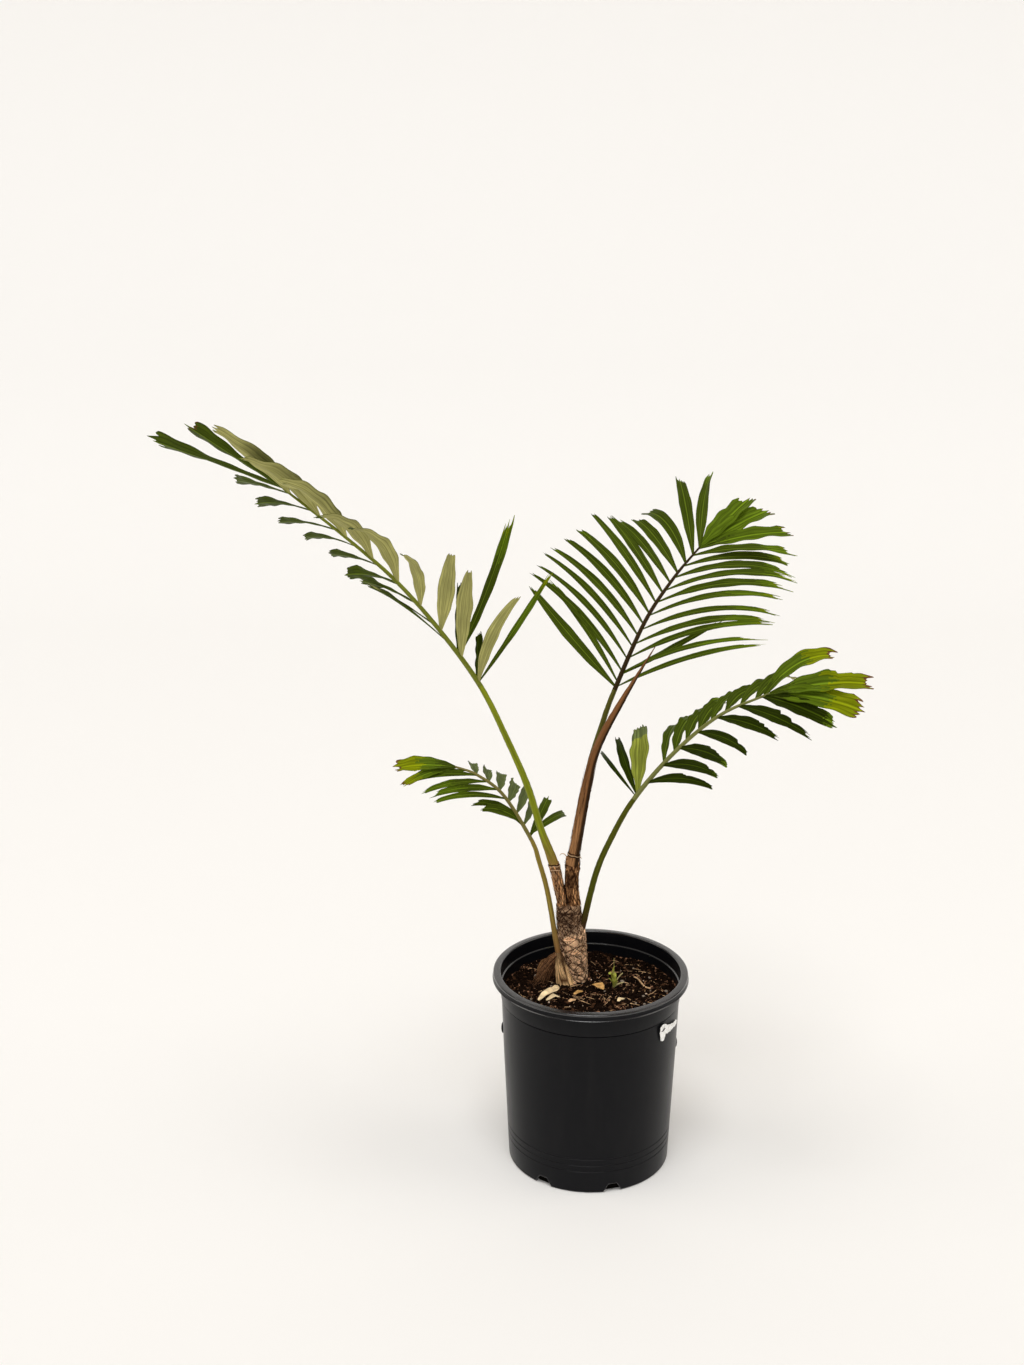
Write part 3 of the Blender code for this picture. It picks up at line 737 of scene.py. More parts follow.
def plastic_finish(name, colour, shine, smoothest):
    """Moulded black plastic with a fine orange-peel skin and faint upright scuffs."""
    skin = Finish(name, colour, 0.34, shine)
    peel = skin.mask("Grain", Stretch=(900, 900, 900), Detail=2.0, Low=0.3, High=0.7)
    scuffs = skin.mask("Grain", Stretch=(60, 60, 9), Detail=5.0, Low=0.45, High=0.75)
    clouds = skin.mask("Grain", Stretch=(14, 14, 10), Detail=4.0, Low=0.35, High=0.70)
    worn = skin.work("MULTIPLY", scuffs, skin.work("ADD", clouds, 0.2))
    tone = skin.mix(skin.work("MULTIPLY", worn, 0.25), colour, (0.016, 0.015, 0.015))
    return skin.done(tone, peel, 0.12, 0.0003,
        Roughness=skin.span(worn, 0.0, 1.0, smoothest, smoothest + 0.10))


# ---------------------------------------------------------------- pot


def wall_radius(height):
    """The outer wall below the lip."""
    share = np.clip((height - BASE_BEVEL) / (LEDGE - BASE_BEVEL), 0, 1)
    return POT_BASE_RADIUS + (POT_TOP_RADIUS - POT_BASE_RADIUS) * share


def inner_radius(height):
    share = (height - POT_FLOOR) / (LEDGE - POT_FLOOR)
    return POT_BASE_RADIUS + (POT_TOP_RADIUS - POT_BASE_RADIUS) * share - POT_WALL


def on_wall(degrees, height, lifted):
    """Points on the wall, by their angle from the front towards +X."""
    out, turn = wall_radius(height) + lifted, np.radians(degrees)
    return np.stack([out * np.sin(turn), -out * np.cos(turn), height], 1)


def lathe(profile, segments):
    """A round shape: a filled disc extruded ring by ring through a profile of (radius, height)."""
    radius, height = profile[0]
    bpy.ops.mesh.primitive_circle_add(
        vertices=segments, radius=radius, fill_type="NGON", location=(0, 0, height))
    piece = bpy.context.object
    bpy.ops.object.transform_apply(location=True)
    bpy.ops.object.mode_set(mode="EDIT")
    bpy.ops.mesh.select_all(action="SELECT")
    for (before, below), (after, above) in zip(profile, profile[1:]):
        bpy.ops.mesh.extrude_region_move(TRANSFORM_OT_translate={"value": (0, 0, above - below)})
        size = after / before
        bpy.ops.transform.resize(value=(size, size, 1), center_override=(0, 0, above))
    bpy.ops.object.mode_set(mode="OBJECT")
    outwards(piece, MERGE)
    return piece


def arc(centre, radius, first, last, steps):
    """Points of a profile on an arc, from one angle to another in degrees."""
    angles = np.radians(np.linspace(first, last, steps + 1))
    return [(centre[0] + radius * math.cos(angle), centre[1] + radius * math.sin(angle)) for angle in angles]


def beside(out, height, offsets):
    """Points of a profile, as offsets in millimetres from one spot."""
    return [(out + across / 1000, height + up / 1000) for across, up in offsets]


def pot_profile(lip_bead, ring_depth):
    """Up the outside over the foot's bevel, three ring lines and a step, round the lip, down the inside."""
    lip, under, inner, ring = POT_RIM_RADIUS, POT_HEIGHT - LIP_DEPTH, inner_radius(LEDGE), ring_depth * 1000
    points = arc((POT_BASE_RADIUS - BASE_BEVEL, BASE_BEVEL), BASE_BEVEL, -90, 0, 5)
    for height in RING_HEIGHTS:
        points += beside(wall_radius(height), height, [(0, -0.7), (-ring, -0.3), (-ring, 0.3), (0, 0.7)])
    points += [(wall_radius(height), height) for height in (0.1, 0.16)]
    points += beside(wall_radius(STEP_HEIGHT), STEP_HEIGHT,
        [(-0.8, -1.6), (-2.0, -1.3), (-2.1, -0.3), (-0.1, 0), (0.1, 0.6)])
    points += beside(POT_TOP_RADIUS, LEDGE, [(0, -2), (0.4, 3)])
    points += beside(POT_TOP_RADIUS, under, [(0.6, -0.8), (1.4, 0)])
    points += arc((lip - lip_bead, under + lip_bead), lip_bead, -85, 0, 5)
    points += beside(lip, under, [(-0.1, 0.9), (-0.9, 1.7), (-1.0, 2.1)])
    points += beside(lip, POT_HEIGHT, [(-1.0, -3.0)])
    points += arc((lip - 0.0026, POT_HEIGHT - 0.0021), 0.0017, 12, 82, 7)
    points += beside(lip, POT_HEIGHT, [(-5.0, -0.1), (-8.2, 0)])
    points += arc((lip - 0.0090, POT_HEIGHT - 0.0018), 0.0018, 90, 170, 6)
    points += beside(lip, POT_HEIGHT, [(-11.2, -8.0)])
    points += beside(inner, LEDGE, [(1.6, 0.6), (0.8, 0.1), (0, -0.4)])
    return points + [(inner_radius(height), height) for height in (0.2, 0.02, POT_FLOOR)]


def notch_cutter(degrees):
    """A wedge across the wall's foot, wide below and narrow above, with soft upper corners."""
    bpy.ops.mesh.primitive_cube_add(size=1)
    wedge = bpy.context.object
    shape = corners_of(wedge.data)
    top = shape[:, 2] > 0
    shape[:, 0] *= np.where(top, NOTCH_TOP, NOTCH_FOOT + 0.0026)
    shape[:, 1] = shape[:, 1] * 2 * NOTCH_DEPTH - POT_BASE_RADIUS
    shape[:, 2] = np.where(top, NOTCH_HEIGHT, -BASE_BEVEL)
    set_corners(wedge.data, shape)
    bpy.ops.object.mode_set(mode="EDIT")
    bpy.ops.mesh.select_all(action="DESELECT")
    bpy.ops.object.mode_set(mode="OBJECT")
    for edge in wedge.data.edges:
        a, b = (wedge.data.vertices[index].co for index in edge.vertices)
        edge.select = min(a.z, b.z) > 0 and abs(a.x - b.x) < MERGE
    bpy.ops.object.mode_set(mode="EDIT")
    bpy.ops.mesh.select_mode(type="EDGE")
    bpy.ops.mesh.bevel(offset=0.0028, segments=5, affect="EDGES")
    bpy.ops.object.mode_set(mode="OBJECT")
    set_corners(wedge.data, corners_of(wedge.data) @ rotation(math.radians(degrees)).T)
    return wedge


def notch_border(degrees):
    """The fine raised edge that runs over a notch, as points on the wall."""
    half = [(NOTCH_FOOT / 2, 0.0012), (NOTCH_TOP / 2 + 0.0022, NOTCH_HEIGHT * 0.76),
        (NOTCH_TOP / 2, NOTCH_HEIGHT + 0.0002)]
    x, z = evenly([(-x, z) for x, z in half] + half[::-1], 34).T
    y = -np.sqrt((wall_radius(z) - 0.0001) ** 2 - x ** 2)
    return np.stack([x, y, z], 1) @ rotation(math.radians(degrees)).T, np.full(len(x), 0.00042)


def lug(side, height):
    """A small rounded nub moulded on the wall."""
    bpy.ops.mesh.primitive_uv_sphere_add(segments=20, ring_count=12, radius=1)
    nub = bpy.context.object
    shape = corners_of(nub.data) * (0.0024, 0.0042, 0.0078)
    set_corners(nub.data, shape + (side * (wall_radius(height) - 0.0002), 0, height))
    bpy.ops.object.shade_smooth()
    return nub


class PalmPot(bpy.types.PropertyGroup):
    colour: tint("Plastic", "Colour of the moulded pot", (0.0040, 0.0042, 0.0055))
    lip_bead: measure("Lip bead", "Radius of the lip's lower edge", 0.0008)
    ring_depth: measure("Ring depth", "How deep the three lines near the foot are", 0.0005)
    segments: IntProperty(name="Segments", description="Faces round the pot", default=160, min=32)


class PALM_OT_pot(bpy.types.Operator):
    """Mould the pot with its rolled lip, ring lines, step, foot notches and nubs"""

    bl_idname = "palm.pot"
    bl_label = "Pot"

    def execute(self, context):
        sizes = context.scene.palm_pot
        pot = lathe(pot_profile(sizes.lip_bead, sizes.ring_depth), sizes.segments)
        for degrees in NOTCH_ANGLES:
            cutter = notch_cutter(degrees)
            cut = pot.modifiers.new("Notch", "BOOLEAN")
            cut.operation, cut.solver, cut.object = "DIFFERENCE", "EXACT", cutter
            apply_modifiers(pot)
            bpy.data.objects.remove(cutter)
        smooth(pot, 35)
        plastic = plastic_finish("black plastic", sizes.colour, 0.12, 0.30)
        # The lip's finish is a glossier copy of the plastic, 1.6 times lighter; the lighter colour is painted
        # highlight.
        gloss_and_painted_highlight = plastic_finish("polished lip", shade(sizes.colour, 1.6), 1.0, 0.13)
        borders = wires([notch_border(degrees) for degrees in NOTCH_ANGLES], 6, plastic, gloss_and_painted_highlight)
        nubs = [lug(-1, 0.181), lug(1, 0.160)]
        for piece in (pot, *nubs):
            dress(piece, plastic, gloss_and_painted_highlight)
        # The lip's top, the bead under its outer edge and the inner ledge's edge take that lighter finish as
        # painted highlight, as do the notches' raised borders.
        bead_height = POT_HEIGHT - LIP_DEPTH + 0.0013
        for polygon in pot.data.polygons:
            height, out = polygon.center.z, math.hypot(polygon.center.x, polygon.center.y)
            bead = abs(height - bead_height) < 0.0005 and out > POT_RIM_RADIUS - 0.0014
            ledge_highlight = abs(height - LEDGE) < 0.0015 and out < POT_TOP_RADIUS - 0.001
            polygon.material_index = int(height > POT_HEIGHT - 0.0028 or ledge_highlight or bead)
        for polygon in borders.data.polygons:
            polygon.material_index = 1
        settle(joined("nursery pot", [pot, borders, *nubs]), "black_plastic", "pot")
        return {"FINISHED"}


# ---------------------------------------------------------------- tag

# The scrap's upper and lower edge and the slit in it, as (degrees from the front, height).
TAG_UPPER = [(46.3, 0.2235), (48.0, 0.2252), (51.4, 0.2257), (53.5, 0.2222), (58.0, 0.2185),
    (63.5, 0.2160), (68.5, 0.2150), (71.0, 0.2120)]
TAG_LOWER = [(46.6, 0.2150), (48.0, 0.2035), (49.9, 0.2013), (51.6, 0.2040), (53.0, 0.2098),
    (56.0, 0.2078), (60.0, 0.2085), (66.0, 0.2075), (71.3, 0.2085)]
TAG_SLIT = [(47.4, 0.2178), (49.0, 0.2172), (50.6, 0.2186), (51.9, 0.2194)]


class PALM_OT_tag(bpy.types.Operator):
    """Stick the torn blank label on the wall"""

    bl_idname = "palm.tag"
    bl_label = "Torn label"

    def execute(self, context):
        def place(u, v):
            degrees = 46.4 + 24.8 * u
            ragged = 0.0004 * np.sin(41 * u + 3) + 0.0003 * np.sin(97 * u)
            low, top = (between(edge, degrees)[:, 0] + ragged for edge in (TAG_LOWER, TAG_UPPER))
            lifted = 0.0009 + 0.0010 * (1 - u) ** 3 + 0.0006 * np.sin(9 * u + 2 * v) ** 2
            return on_wall(degrees, low + (top - low) * v, lifted)

        label, u, v = sheet(48, 16, place)
        set_map(label.data, u, v)
        outwards(label)
        thicken(label, 0.0003)
        smooth(label, 40)
        dress(label, speckled("blank label", (0.86, 0.86, 0.84), 0.45, 260, 0.15, 0.92))
        # A dark rod laid along the slit is painted shadow.
        degrees, height = evenly(TAG_SLIT, 12).T
        radii = 0.0007 * np.sin(np.linspace(0.15, np.pi - 0.15, 12))
        slit = wires([(on_wall(degrees, height, 0.0022), radii)], 6,
            speckled("slit shadow", (0.02, 0.02, 0.02), 0.9, 300))
        settle(joined("torn label", [label, slit]), "black_plastic")
        return {"FINISHED"}


# ---------------------------------------------------------------- soil and what lies on it


def soil_height(x, y):
    """Level round the plant's foot, and in low heaps beyond it."""
    away = np.hypot(x + 0.024, y - 0.030)
    share = np.clip((away - 0.036) / 0.03, 0, 1)
    heaps = np.sin(61 * x + 1.3) * np.cos(73 * y - 0.7) + 0.5 * np.sin(150 * x + 110 * y)
    return SOIL_LEVEL + 0.0035 * share * heaps / 1.5


def on_soil(x, y, above=0.0):
    return np.array((x, y, soil_height(x, y) + above))


def over_soil(line):
    """Points whose heights are given from the soil's level."""
    return np.array(line) + (0, 0, SOIL_LEVEL)


def strewn(rng, count, sizes, form, material, reach, lift, ragged=0.12, tilt=0.35, inmost=0.01):
    """Loose pieces of one kind scattered over the mix, as one mesh.

    sizes(count) draws their sizes, form is their shape, reach is how far from the pot's middle they
    lie, lift how far each is out of the mix, and ragged how uneven they are.
    """
    bpy.ops.mesh.primitive_ico_sphere_add(subdivisions=1, radius=1)
    blank = bpy.context.object
    shape = corners_of(blank.data) * form
    faces = np.array([polygon.vertices[:] for polygon in blank.data.polygons])
    bpy.data.objects.remove(blank)
    shape = shape * (1 + ragged * rng.standard_normal((count, len(shape), 1)).clip(-1.6, 1.6))
    radius, angle = reach * np.sqrt(rng.uniform(inmost, 1, count)), rng.uniform(0, FULL_TURN, count)
    x, y = radius * np.cos(angle), radius * np.sin(angle)
    grown = sizes(count)
    places = np.stack([x, y, soil_height(x, y) + grown * lift], 1)
    turns = random_turns(rng, count, tilt) * grown[:, None, None]
    corners = np.einsum("nij,nvj->nvi", turns, shape) + places[:, None]
    numbers = faces + (np.arange(count) * shape.shape[1])[:, None, None]
    piece = from_lists(corners.reshape(-1, 3).tolist(), numbers.reshape(-1, 3).tolist())
    return dress(piece, material)


# Shares of the soil's grid, from the middle of its underside to the middle of its top.
SOIL_CENTRE = 0.015
SOIL_UNDERSIDE = 0.055
SOIL_TOP = 0.94


class PalmSoil(bpy.types.PropertyGroup):
    colour: tint("Mix", "Colour of the dry potting mix", (0.105, 0.054, 0.031))
    crumbs: IntProperty(name="Crumbs", description="Number of loose crumbs of mix", default=4200, min=0)
    roughness: measure("Lumps", "Height of the mix's lumps", 0.0016)


class PALM_OT_soil(bpy.types.Operator):
    """Fill the pot with lumpy potting mix and scatter crumbs over it"""

    bl_idname = "palm.soil"
    bl_label = "Potting mix"

    def execute(self, context):
        sizes = context.scene.palm_soil
        top_radius, low_radius = inner_radius(SOIL_LEVEL) - GAP, inner_radius(POT_FLOOR) - 2 * GAP

        def place(u, v):
            angle = FULL_TURN * u
            share = np.clip((1 - v) / SOIL_TOP, 0, 1)
            radius = np.where(v > SOIL_UNDERSIDE, top_radius * share, low_radius)
            radius = np.where(v < SOIL_CENTRE, 0, radius)
            x, y = radius * np.cos(angle), radius * np.sin(angle)
            level = np.stack([x, y, np.zeros(len(x))], 1)
            lumps = bumps(level, 95) + 0.6 * bumps(level, 230, 5) + 0.35 * bumps(level, 520, 9)
            height = soil_height(x, y) + sizes.roughness * lumps * np.minimum(share * 8, 1)
            return np.stack([x, y, np.where(v > SOIL_UNDERSIDE, height, POT_FLOOR + GAP)], 1)

        soil, _, _ = sheet(220, 120, place)
        outwards(soil, MERGE)
        smooth(soil, 60)
        mix = Finish("potting mix", sizes.colour, 0.95, 0.0)
        fine = mix.mask("Grain", Stretch=(360, 360, 360), Detail=5.0, Low=0.47, High=0.60)
        coarse = mix.mask("Grain", Stretch=(70, 70, 70), Detail=3.0, Low=0.35, High=0.65)
        light = mix.mix(coarse, shade(sizes.colour, 1.3), shade(sizes.colour, 5.5))
        tone = mix.mix(fine, shade(sizes.colour, 0.04), light)
        dress(soil, mix.done(tone, fine, 1.0, 0.0022),
            speckled("root ball in painted shade", (0.003, 0.0025, 0.002), 0.95, 200))
        # Faces below 0.2 m, the mix's sides and underside inside the pot, take a near-black finish: painted
        # shade.
        for polygon in soil.data.polygons:
            polygon.material_index = int(polygon.center.z < 0.2)
        settle(named(soil, "potting mix"), "potting_mix", "soil")

        rng = np.random.default_rng(11)
        crumbs = strewn(rng, sizes.crumbs, lambda count: 0.0011 + 0.0029 * rng.power(0.45, count),
            (1, 0.8, 0.65), speckled("dark crumb", (0.010, 0.005, 0.003), 0.95, 500),
            top_radius - 0.003, 0.25, 0.22, 0.6, 0)
        smooth(crumbs, 30)
        settle(named(crumbs, "crumbs of mix"), "potting_mix")
        return {"FINISHED"}


def blade(line, width, thickness, material, curl, rows=28, columns=10, roll=0.0):
    """A small leaf or flake bent along a line of points, broad in its middle."""
    reach = np.linspace(0, 1, len(line))

    def place(u, v):
        ahead, behind = (read_off(v + step, reach, line) for step in (0.04, -0.04))
        along = unit(ahead - behind)
        across = unit(np.cross(along, (math.sin(roll), 0, math.cos(roll))))
        above = np.cross(across, along)
        half = width / 2 * np.sin(np.pi * (0.04 + 0.94 * v)) ** 0.7
        c = 2 * u - 1
        lifted = half * (curl * c * c + 0.08 * np.sin(11 * v + 4 * c))
        return read_off(v, reach, line) + across * (half * c)[:, None] + above * lifted[:, None]

    piece, u, v = sheet(columns, rows, place)
    set_map(piece.data, u, v)
    thicken(piece, thickness)
    smooth(piece, 50)
    return dress(piece, material)


# Each flake's points as (x, y, height over the mix), its width, thickness, material and curl.
FLAKES = [
    ([(-0.068, -0.032, 0.003), (-0.060, -0.027, 0.006), (-0.050, -0.020, 0.008), (-0.0455, -0.008, 0.007),
        (-0.0445, 0.0076, 0.004)], 0.0125, 0.0004, "cream", 0.45),
    ([(-0.058, -0.036, 0.003), (-0.048, -0.030, 0.005), (-0.040, -0.026, 0.003)],
        0.008, 0.0004, "cream", 0.3),
    ([(0.004, 0.0105, 0.004), (0.011, 0.001, 0.006), (0.017, -0.006, 0.004)], 0.0125, 0.0005, "tan", 0.35),
    ([(-0.030, -0.037, 0.003), (-0.025, -0.033, 0.004), (-0.020, -0.030, 0.003)], 0.006, 0.0005, "pale", 0.2),
    ([(-0.022, -0.016, 0.003), (-0.015, -0.010, 0.004), (-0.010, -0.007, 0.003)], 0.006, 0.0005, "tan", 0.2),
    ([(0.034, -0.038, 0.003), (0.037, -0.0345, 0.004), (0.043, -0.031, 0.003)], 0.006, 0.0005, "cream", 0.2),
]

# The sprout's stems and pale arms as (end, radius), and its leaves as (points, width). Heights are
# measured from the soil.
SPROUT_FOOT = (0.0316, 0.0105)
SPROUT_STEMS = [((0.0310, 0.0125, 0.0400), 0.0005), ((0.0305, 0.0085, 0.0260), 0.0021),
    ((0.0290, 0.0070, 0.0120), 0.0016)]
SPROUT_ARMS = [((0.0425, 0.0080, 0.0215), 0.0015), ((0.0440, 0.0085, 0.0080), 0.0016)]
SPROUT_LEAVES = [
    ([(0.0310, 0.0085, 0.006), (0.0298, 0.0070, 0.020), (0.0312, 0.0065, 0.032)], 0.0085),
    ([(0.0305, 0.0080, 0.014), (0.0272, 0.0070, 0.021), (0.0238, 0.0065, 0.021)], 0.0075),
    ([(0.0305, 0.0075, 0.006), (0.0272, 0.0060, 0.012), (0.0248, 0.0050, 0.015)], 0.0070),
    ([(0.0320, 0.0070, 0.003), (0.0332, 0.0045, 0.010), (0.0345, 0.0035, 0.015)], 0.0070),
]


def fibre_shreds(rng, tries):
    """Short bowed fibres lying on the mix, wherever a try falls inside the pot."""
    shreds = []
    for _ in range(tries):
        x, y = rng.uniform(-0.098, 0.098, 2)
        if math.hypot(x, y) > 0.101:
            continue
        turn, length = rng.uniform(0, FULL_TURN), rng.uniform(0.006, 0.022)
        steps = np.linspace(-0.5, 0.5, 7)
        bow = rng.uniform(-0.15, 0.15) * (steps ** 2 - 0.1)
        px = x + length * (steps * math.cos(turn) - bow * math.sin(turn))
        py = y + length * (steps * math.sin(turn) + bow * math.cos(turn))
        if np.hypot(px, py).max() >= 0.105:
            continue
        pz = soil_height(px, py) + 0.0012 + 0.0012 * rng.uniform(0, 1) * (1 - 4 * steps ** 2)
        radii = rng.uniform(0.00025, 0.0006) * (1 - 0.6 * np.abs(2 * steps))
        shreds.append((np.stack([px, py, pz], 1), radii))
    return shreds


class PALM_OT_litter(bpy.types.Operator):
    """Lay perlite, bark chips, pebbles, fallen leaves, a twig and a sprout on the mix"""

    bl_idname = "palm.litter"
    bl_label = "Litter and sprout"

    def execute(self, context):
        rng = np.random.default_rng(23)
        made = {key: speckled(*values) for key, values in {
            "cream": ("dry leaf", (0.88, 0.69, 0.42), 0.8, 130, 0.3, 0.72),
            "tan": ("tan flake", (0.62, 0.36, 0.13), 0.8, 150, 0.3, 0.6),
            "dark": ("dark bark chip", (0.060, 0.028, 0.014), 0.92, 260),
            "pale": ("pale bark chip", (0.72, 0.46, 0.25), 0.9, 260),
            "perlite": ("perlite", (0.86, 0.68, 0.52), 0.85, 700, 0.8, 0.75),
            "stone": ("pebble", (0.26, 0.21, 0.165), 0.7, 420, 0.3, 0.65)}.items()}
        pieces = []
        for count, size, form, key, lift, ragged in (
                (210, 0.0042, (1, 0.45, 0.26), "dark", 0.35, 0.12),
                (60, 0.0013, (1, 0.85, 0.8), "perlite", 0.5, 0.12),
                (34, 0.0022, (1, 0.8, 0.7), "stone", 0.4, 0.05)):
            pieces.append(strewn(rng, count, lambda count: size * rng.uniform(0.6, 1.35, count), form,
                made[key], 0.104, lift, ragged))
            rng.random(count)  # keeps the draws below in step
        pieces.append(wires(fibre_shreds(rng, 150), 4, made["pale"]))
        for line, width, thickness, key, curl in FLAKES:
            pieces.append(blade([on_soil(*spot) for spot in line], width, thickness, made[key], curl))
        steps = np.linspace(0, 1, 10)
        twig = straight(on_soil(0.059, 0.034, 0.002), on_soil(0.078, -0.001, 0.004), steps)
        twig[:, 2] += 0.002 * np.sin(7 * steps)
        pieces.append(wires([(twig, np.full(10, 0.0011))], 7, made["pale"]))
        seed = on_soil(0.0426, 0.019, 0.0015) + np.stack(
            [0.006 * (steps - 0.5), 0.003 * np.sin(3 * steps), 0.001 * np.sin(3 * steps)], 1)
        pieces.append(wires([(seed, 0.0024 * np.sin(0.3 + 2.5 * steps))], 10, made["stone"]))
        settle(joined("litter", pieces), "potting_mix")

        stem_green = stalk_finish("sprout stem", (0.44, 0.42, 0.14), (0.24, 0.28, 0.03), 0.0, 1.0)
        leaf_green = leaf_finish("sprout leaf", (0.56, 0.58, 0.10), (0.70, 0.70, 0.26), 0.5)
        arm_pale = stalk_finish("sprout arm", (0.62, 0.54, 0.26), (0.60, 0.50, 0.24), 0.0, 1.0)
        foot, sprout = on_soil(*SPROUT_FOOT), []
        for limbs, sides, green in ((SPROUT_STEMS, 7, stem_green), (SPROUT_ARMS, 6, arm_pale)):
            lines = []
            for end, size in limbs:
                line = straight(foot, over_soil(end), steps)
                line[:, 0] += (end[0] - foot[0]) * 0.9 * (steps ** 2 - steps)
                lines.append((line, size * (1 - 0.6 * steps)))
            sprout.append(wires(lines, sides, green))
        for line, width in SPROUT_LEAVES:
            sprout.append(blade(over_soil(line), width, 0.0004, leaf_green, 0.35, 12, 6))
        settle(joined("weed sprout", sprout), "leaf")
        return {"FINISHED"}


# ---------------------------------------------------------------- trunk and leaf bases


def ridged(points, across_scale, seed):
    """Sharp upright fibres: high where the noise crosses nought."""
    squeezed = points * (across_scale, across_scale, across_scale * 0.14)
    return 1 - 2 * np.abs(bumps(squeezed, 1, seed))


def bark_relief(depth, rings, seed, ring_depth=0.0012):
    """Upright fibres, lumps, and old leaf scars as rings that tip from side to side."""
    def relief(angle, distance, spots):
        total = bumps(spots, 90, seed) * depth * 1.3
        total += ridged(spots, 520, seed + 3) * depth * 0.8 + ridged(spots, 1100, seed + 7) * depth * 0.4
        for at, tip, phase in rings:
            near = distance - at - tip * np.sin(angle + phase) - 0.0006 * np.sin(5 * angle + phase)
            step = np.clip(1 - np.abs(near) / 0.0022, 0, 1)
            total += ring_depth * np.where(near < 0, step, -0.6 * step)
        return total
    return relief


def fan_relief(angle, distance, spots):
    """Sixteen upright ribs that fade upwards, with fine grain on them."""
    ribs = np.abs(np.sin(angle * 8 + 0.6 * np.sin(distance * 60))) ** 0.6
    ribs *= 0.0011 * np.interp(distance, (0.0, 0.030, 0.048), (1.0, 0.7, 0.1))
    return ribs + 0.0003 * bumps(spots, 260, 6.0) + 0.00018 * ridged(spots, 900, 6.0)


def matted(rng, path, count, zone, slopes, lengths, out, thick, wild=0.0, angles=(0, FULL_TURN)):
    """Loose fibres that lie slanting over a zone of a limb, some lifting off at their ends."""
    lines = []
    steps = np.linspace(0, 1, 9)
    for _ in range(count):
        start, turn = rng.uniform(*zone), rng.uniform(*angles)
        slope, length = rng.choice(slopes) * rng.uniform(0.6, 1.3), rng.uniform(*lengths)
        distance = np.clip(start + length * steps * math.cos(slope), 0, path.length)
        centre, radius, _, across, back = path.section(distance)
        angle = turn + length * steps * math.sin(slope) / radius
        angle += rng.uniform(-0.15, 0.15) * np.sin(5 * steps)
        rise = out * rng.uniform(0.2, 1.0) + wild * rng.uniform(0, 1) ** 3 * steps ** 2
        radii = thick * rng.uniform(0.5, 1.2) * (1 - 0.7 * steps)
        lines.append((centre + way_round(across, back, angle) * (radius + rise)[:, None], radii))
    return lines


def scar_rings(path, tilt, rings):
    """The thin lines that fallen leaves leave round a limb, tipped to one side; dark rings are painted
    shadow.

    Each ring is its distance along the path, how far it stands out, its thickness and its material.
    """
    spin = np.linspace(0, FULL_TURN, 49)
    made = []
    for distance, out, thick, material in rings:
        places = distance + tilt * np.sin(spin + 0.6) + 0.0004 * np.sin(5 * spin)
        centre, radius, _, across, back = path.section(places)
        line = centre + way_round(across, back, spin) * (radius + out)[:, None]
        made.append(wires([(line, np.full(49, thick))], 6, material))
    return made


class PalmBark(bpy.types.PropertyGroup):
    dark: tint("Bark shadow", "Colour between the fibres", (0.032, 0.009, 0.004))
    light: tint("Bark fibre", "Colour of the fibres on top", (1.000, 0.640, 0.380))
    relief: measure("Bark relief", "How far the fibres stand out", 0.0007)


# The trunk's scars as (distance up it, tip from side to side, phase), and its loose fibres as (count,
# zone, slopes, lengths, how far out, thickness, how far they lift off).
TRUNK_SCARS = [(0.014, 0.0030, 0.4), (0.031, -0.0040, 1.3), (0.050, 0.0045, 2.5), (0.071, -0.0050, 0.2),
    (0.088, 0.0040, 1.1)]
TRUNK_FIBRES = [
    (420, (0.0, 0.078), (0.45, -0.5, 0.9, -0.9), (0.008, 0.026), 0.0013, 0.00028),
    (110, (0.0, 0.070), (0.6, -0.6, 0.8, -0.8), (0.016, 0.036), 0.0014, 0.00034),
    (240, (0.066, 0.100), (0.2, -0.25, 0.5), (0.006, 0.018), 0.0016, 0.00024, 0.004),
    (150, (0.0, 0.095), (0.15, -0.2, 0.7), (0.010, 0.030), 0.0012, 0.00030, 0.003),
]


class PALM_OT_trunk(bpy.types.Operator):
    """Grow the short trunk with its matted bark, scars and loose fibres"""

    bl_idname = "palm.trunk"
    bl_label = "Trunk"

    def execute(self, context):
        sizes = context.scene.palm_bark
        path = Path(TRUNK)
        relief = bark_relief(sizes.relief, TRUNK_SCARS, 2.0)
        bark = tube(path, 0.0, path.length, 230, 150, relief, lead=-0.0001)
        # The dark band from 0.076 m up is partly the dark fibre collar and partly painted shade under the
        # fork.
        dress(bark, bark_finish("trunk bark", sizes.dark, sizes.light, 0.076, 0.130))
        rng = np.random.default_rng(5)
        pale, crossing, dark, brown = (matted(rng, path, *values) for values in TRUNK_FIBRES)
        settle(joined("trunk bark", [
            bark,
            wires(pale, 3, speckled("pale fibre", (0.90, 0.62, 0.41), 0.8, 300)),
            wires(dark + crossing, 3, speckled("dark fibre", (0.050, 0.019, 0.009), 0.9, 300)),
            wires(brown, 3, speckled("brown fibre", (0.26, 0.14, 0.07), 0.85, 300)),
        ]), "bark", "trunk")
        return {"FINISHED"}


def fork_crack(left, right):
    """The dark line between the two tall leaf bases, a little behind their fronts: painted shadow in the gap.
    """
    points = []
    for share in np.linspace(0, 1, 12):
        (near, near_size), (far, far_size) = (path.at(0.002 + 0.026 * share) for path in (left, right))
        middle = (near[0] + near_size + far[0] - far_size) / 2 + 0.0005 * math.sin(19 * share)
        points.append((middle, min(near[1] - near_size, far[1] - far_size) + 0.0040, far[2]))
    return np.array(points), np.linspace(0.0012, 0.0016, 12)


